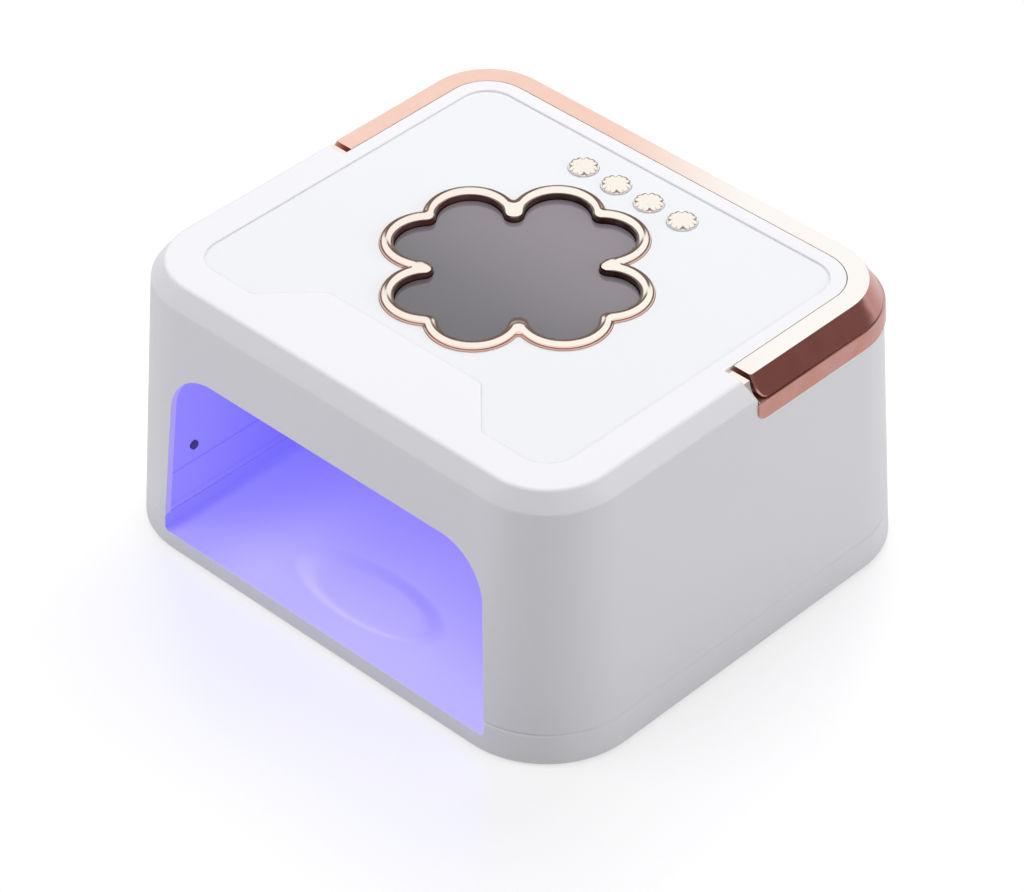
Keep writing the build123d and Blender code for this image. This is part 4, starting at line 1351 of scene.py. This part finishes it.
# %% [markdown]
# A lamp is a clear cup with a collar at the board and a rounded lens at its tip: two short cylinders and a
# sphere. Twenty copies by hand would be twenty chances to misplace one.

# %% Lamps
def make_lamp_tree():
    own = [("Lamp Radius", "NodeSocketFloat"), ("Lamp Length", "NodeSocketFloat")]
    tree, taken, given = start_tree("lamp_grid", grid_inputs + own)
    radius, length = taken["Lamp Radius"], taken["Lamp Length"]
    slim = times(tree, radius, 0.92)
    body = raised(tree, rod(tree, slim, times(tree, length, 0.70), 24), times(tree, length, 0.65))
    collar = raised(tree, rod(tree, radius, times(tree, length, 0.18), 24), times(tree, length, 0.91))
    ball = add_node(tree, "GeometryNodeMeshUVSphere", {"Radius": slim}, {"Segments": 24, "Rings": 12})
    dome = raised(tree, ball.outputs["Mesh"], slim)
    smooth = add_node(tree, "GeometryNodeSetShadeSmooth", {"Geometry": joined(tree, (dome, collar, body))})
    set_out(tree, taken, given, smooth.outputs[0])
    return tree


def place_on_box(node, outer_r, z):
    """Grid size and place from a node's box, for shapes of a known outer radius."""
    low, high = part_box(node)
    middle = (low + high) / 2
    return {
        "Size X": high.x - low.x - 2 * outer_r, "Size Y": high.y - low.y - 2 * outer_r,
        "Place": (middle.x, middle.y, z),
    }


lamp_low, lamp_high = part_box("uv_lamps")
lamp_r = 2.4 * mm
grow_piece(
    make_lamp_tree(), "light_lamps",
    {"Columns": 4, "Rows": 5, "Material": finishes["lamp_clear"], "Lamp Radius": lamp_r,
     "Lamp Length": lamp_high.z - lamp_low.z, **place_on_box("uv_lamps", lamp_r / math.cos(math.pi / 8), lamp_low.z)},
    "case", "uv_lamps",
)

# %% [markdown]
# A screw has a domed head, a cross cut into it and a plain shank. The cross is cut once, before the
# shape is put on the grid's points.

# %% Screws
def make_screw_tree():
    tree, taken, given = start_tree("screw_grid", grid_inputs + [
        ("Head Radius", "NodeSocketFloat"), ("Head Height", "NodeSocketFloat"), ("Shank Radius", "NodeSocketFloat"),
        ("Shank Length", "NodeSocketFloat"), ("Turn", "NodeSocketVector"),
    ])
    radius, height, length = taken["Head Radius"], taken["Head Height"], taken["Shank Length"]
    sizes = {"Radius Top": times(tree, radius, 0.72), "Radius Bottom": radius, "Depth": height}
    head = add_node(tree, "GeometryNodeMeshCone", sizes, {"Vertices": 28})
    cut = add_node(tree, "GeometryNodeMeshBoolean", {"Mesh 1": head.outputs["Mesh"]}, None, {"operation": "DIFFERENCE"})
    for long, short in ((1.1, 0.22), (0.22, 1.1)):
        size = combine(tree, times(tree, radius, long), times(tree, radius, short), height)
        arm = add_node(tree, "GeometryNodeMeshCube", {"Size": size})
        tree.links.new(raised(tree, arm.outputs["Mesh"], height), cut.inputs["Mesh 2"])
    shank = raised(tree, rod(tree, taken["Shank Radius"], length, 20), times(tree, length, -0.5))
    screw = joined(tree, (cut.outputs[0], shank))
    turned = add_node(tree, "GeometryNodeTransform", {"Geometry": screw, "Rotation": taken["Turn"]})
    set_out(tree, taken, given, turned.outputs[0])
    return tree


screw_tree = make_screw_tree()
head_r, head_h, shank_r = 2.4 * mm, 1.5 * mm, 1.2 * mm
for node, name, upright in (
    ("case_screws", "bottom_screws", False),
    ("control_board_screws", "board_screws", False),
    ("lamp_board_screws", "post_screws", True),
):
    low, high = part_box(node)
    seat = high.z - head_h if upright else low.z + head_h
    grow_piece(
        screw_tree, name,
        {"Columns": 2, "Rows": 2, "Material": finishes["bright_steel"], "Head Radius": head_r, "Head Height": head_h,
         "Shank Radius": shank_r, "Shank Length": high.z - low.z - head_h,
         "Turn": (0.0, 0.0, 0.0) if upright else (math.pi, 0.0, 0.0),
         **place_on_box(node, head_r / math.cos(math.pi / 8), seat)},
        "case", node,
    )

# %% [markdown]
# A foot pad is a rubber disc with a slightly narrower tread under it. Two primitives in a tree are enough,
# and the grid sets out all four at once.

# %% Feet
def make_foot_tree():
    own = [("Pad Radius", "NodeSocketFloat"), ("Pad Height", "NodeSocketFloat")]
    tree, taken, given = start_tree("foot_grid", grid_inputs + own)
    radius, height = taken["Pad Radius"], taken["Pad Height"]
    base = raised(tree, rod(tree, radius, times(tree, height, 0.8), 48), times(tree, height, 0.6))
    tread = add_node(tree, "GeometryNodeMeshCone", {
        "Radius Bottom": times(tree, radius, 0.90), "Radius Top": times(tree, radius, 0.94),
        "Depth": times(tree, height, 0.2),
    }, {"Vertices": 48})
    set_out(tree, taken, given, joined(tree, (base, tread.outputs["Mesh"])))
    return tree


foot_low, foot_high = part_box("tray_feet")
foot_r = 8.0 * mm
grow_piece(
    make_foot_tree(), "rubber_pads",
    {"Columns": 2, "Rows": 2, "Material": finishes["rubber_feet"], "Pad Radius": foot_r,
     "Pad Height": foot_high.z - foot_low.z, **place_on_box("tray_feet", foot_r, foot_low.z)},
    "tray", "tray_feet",
)

# %% [markdown]
# ## Finishes on the solids that stay
# The pieces inside the case keep their solids, since little more than a glimpse of them is ever seen. Each
# takes the finish that the record names for it, in one loop.

# %% Dress the rest
for part in frame["record"]["subparts"]:
    solid = solids[part["node"]]
    solid.data.materials.clear()
    solid.data.materials.append(finishes[part["material_slot"]])
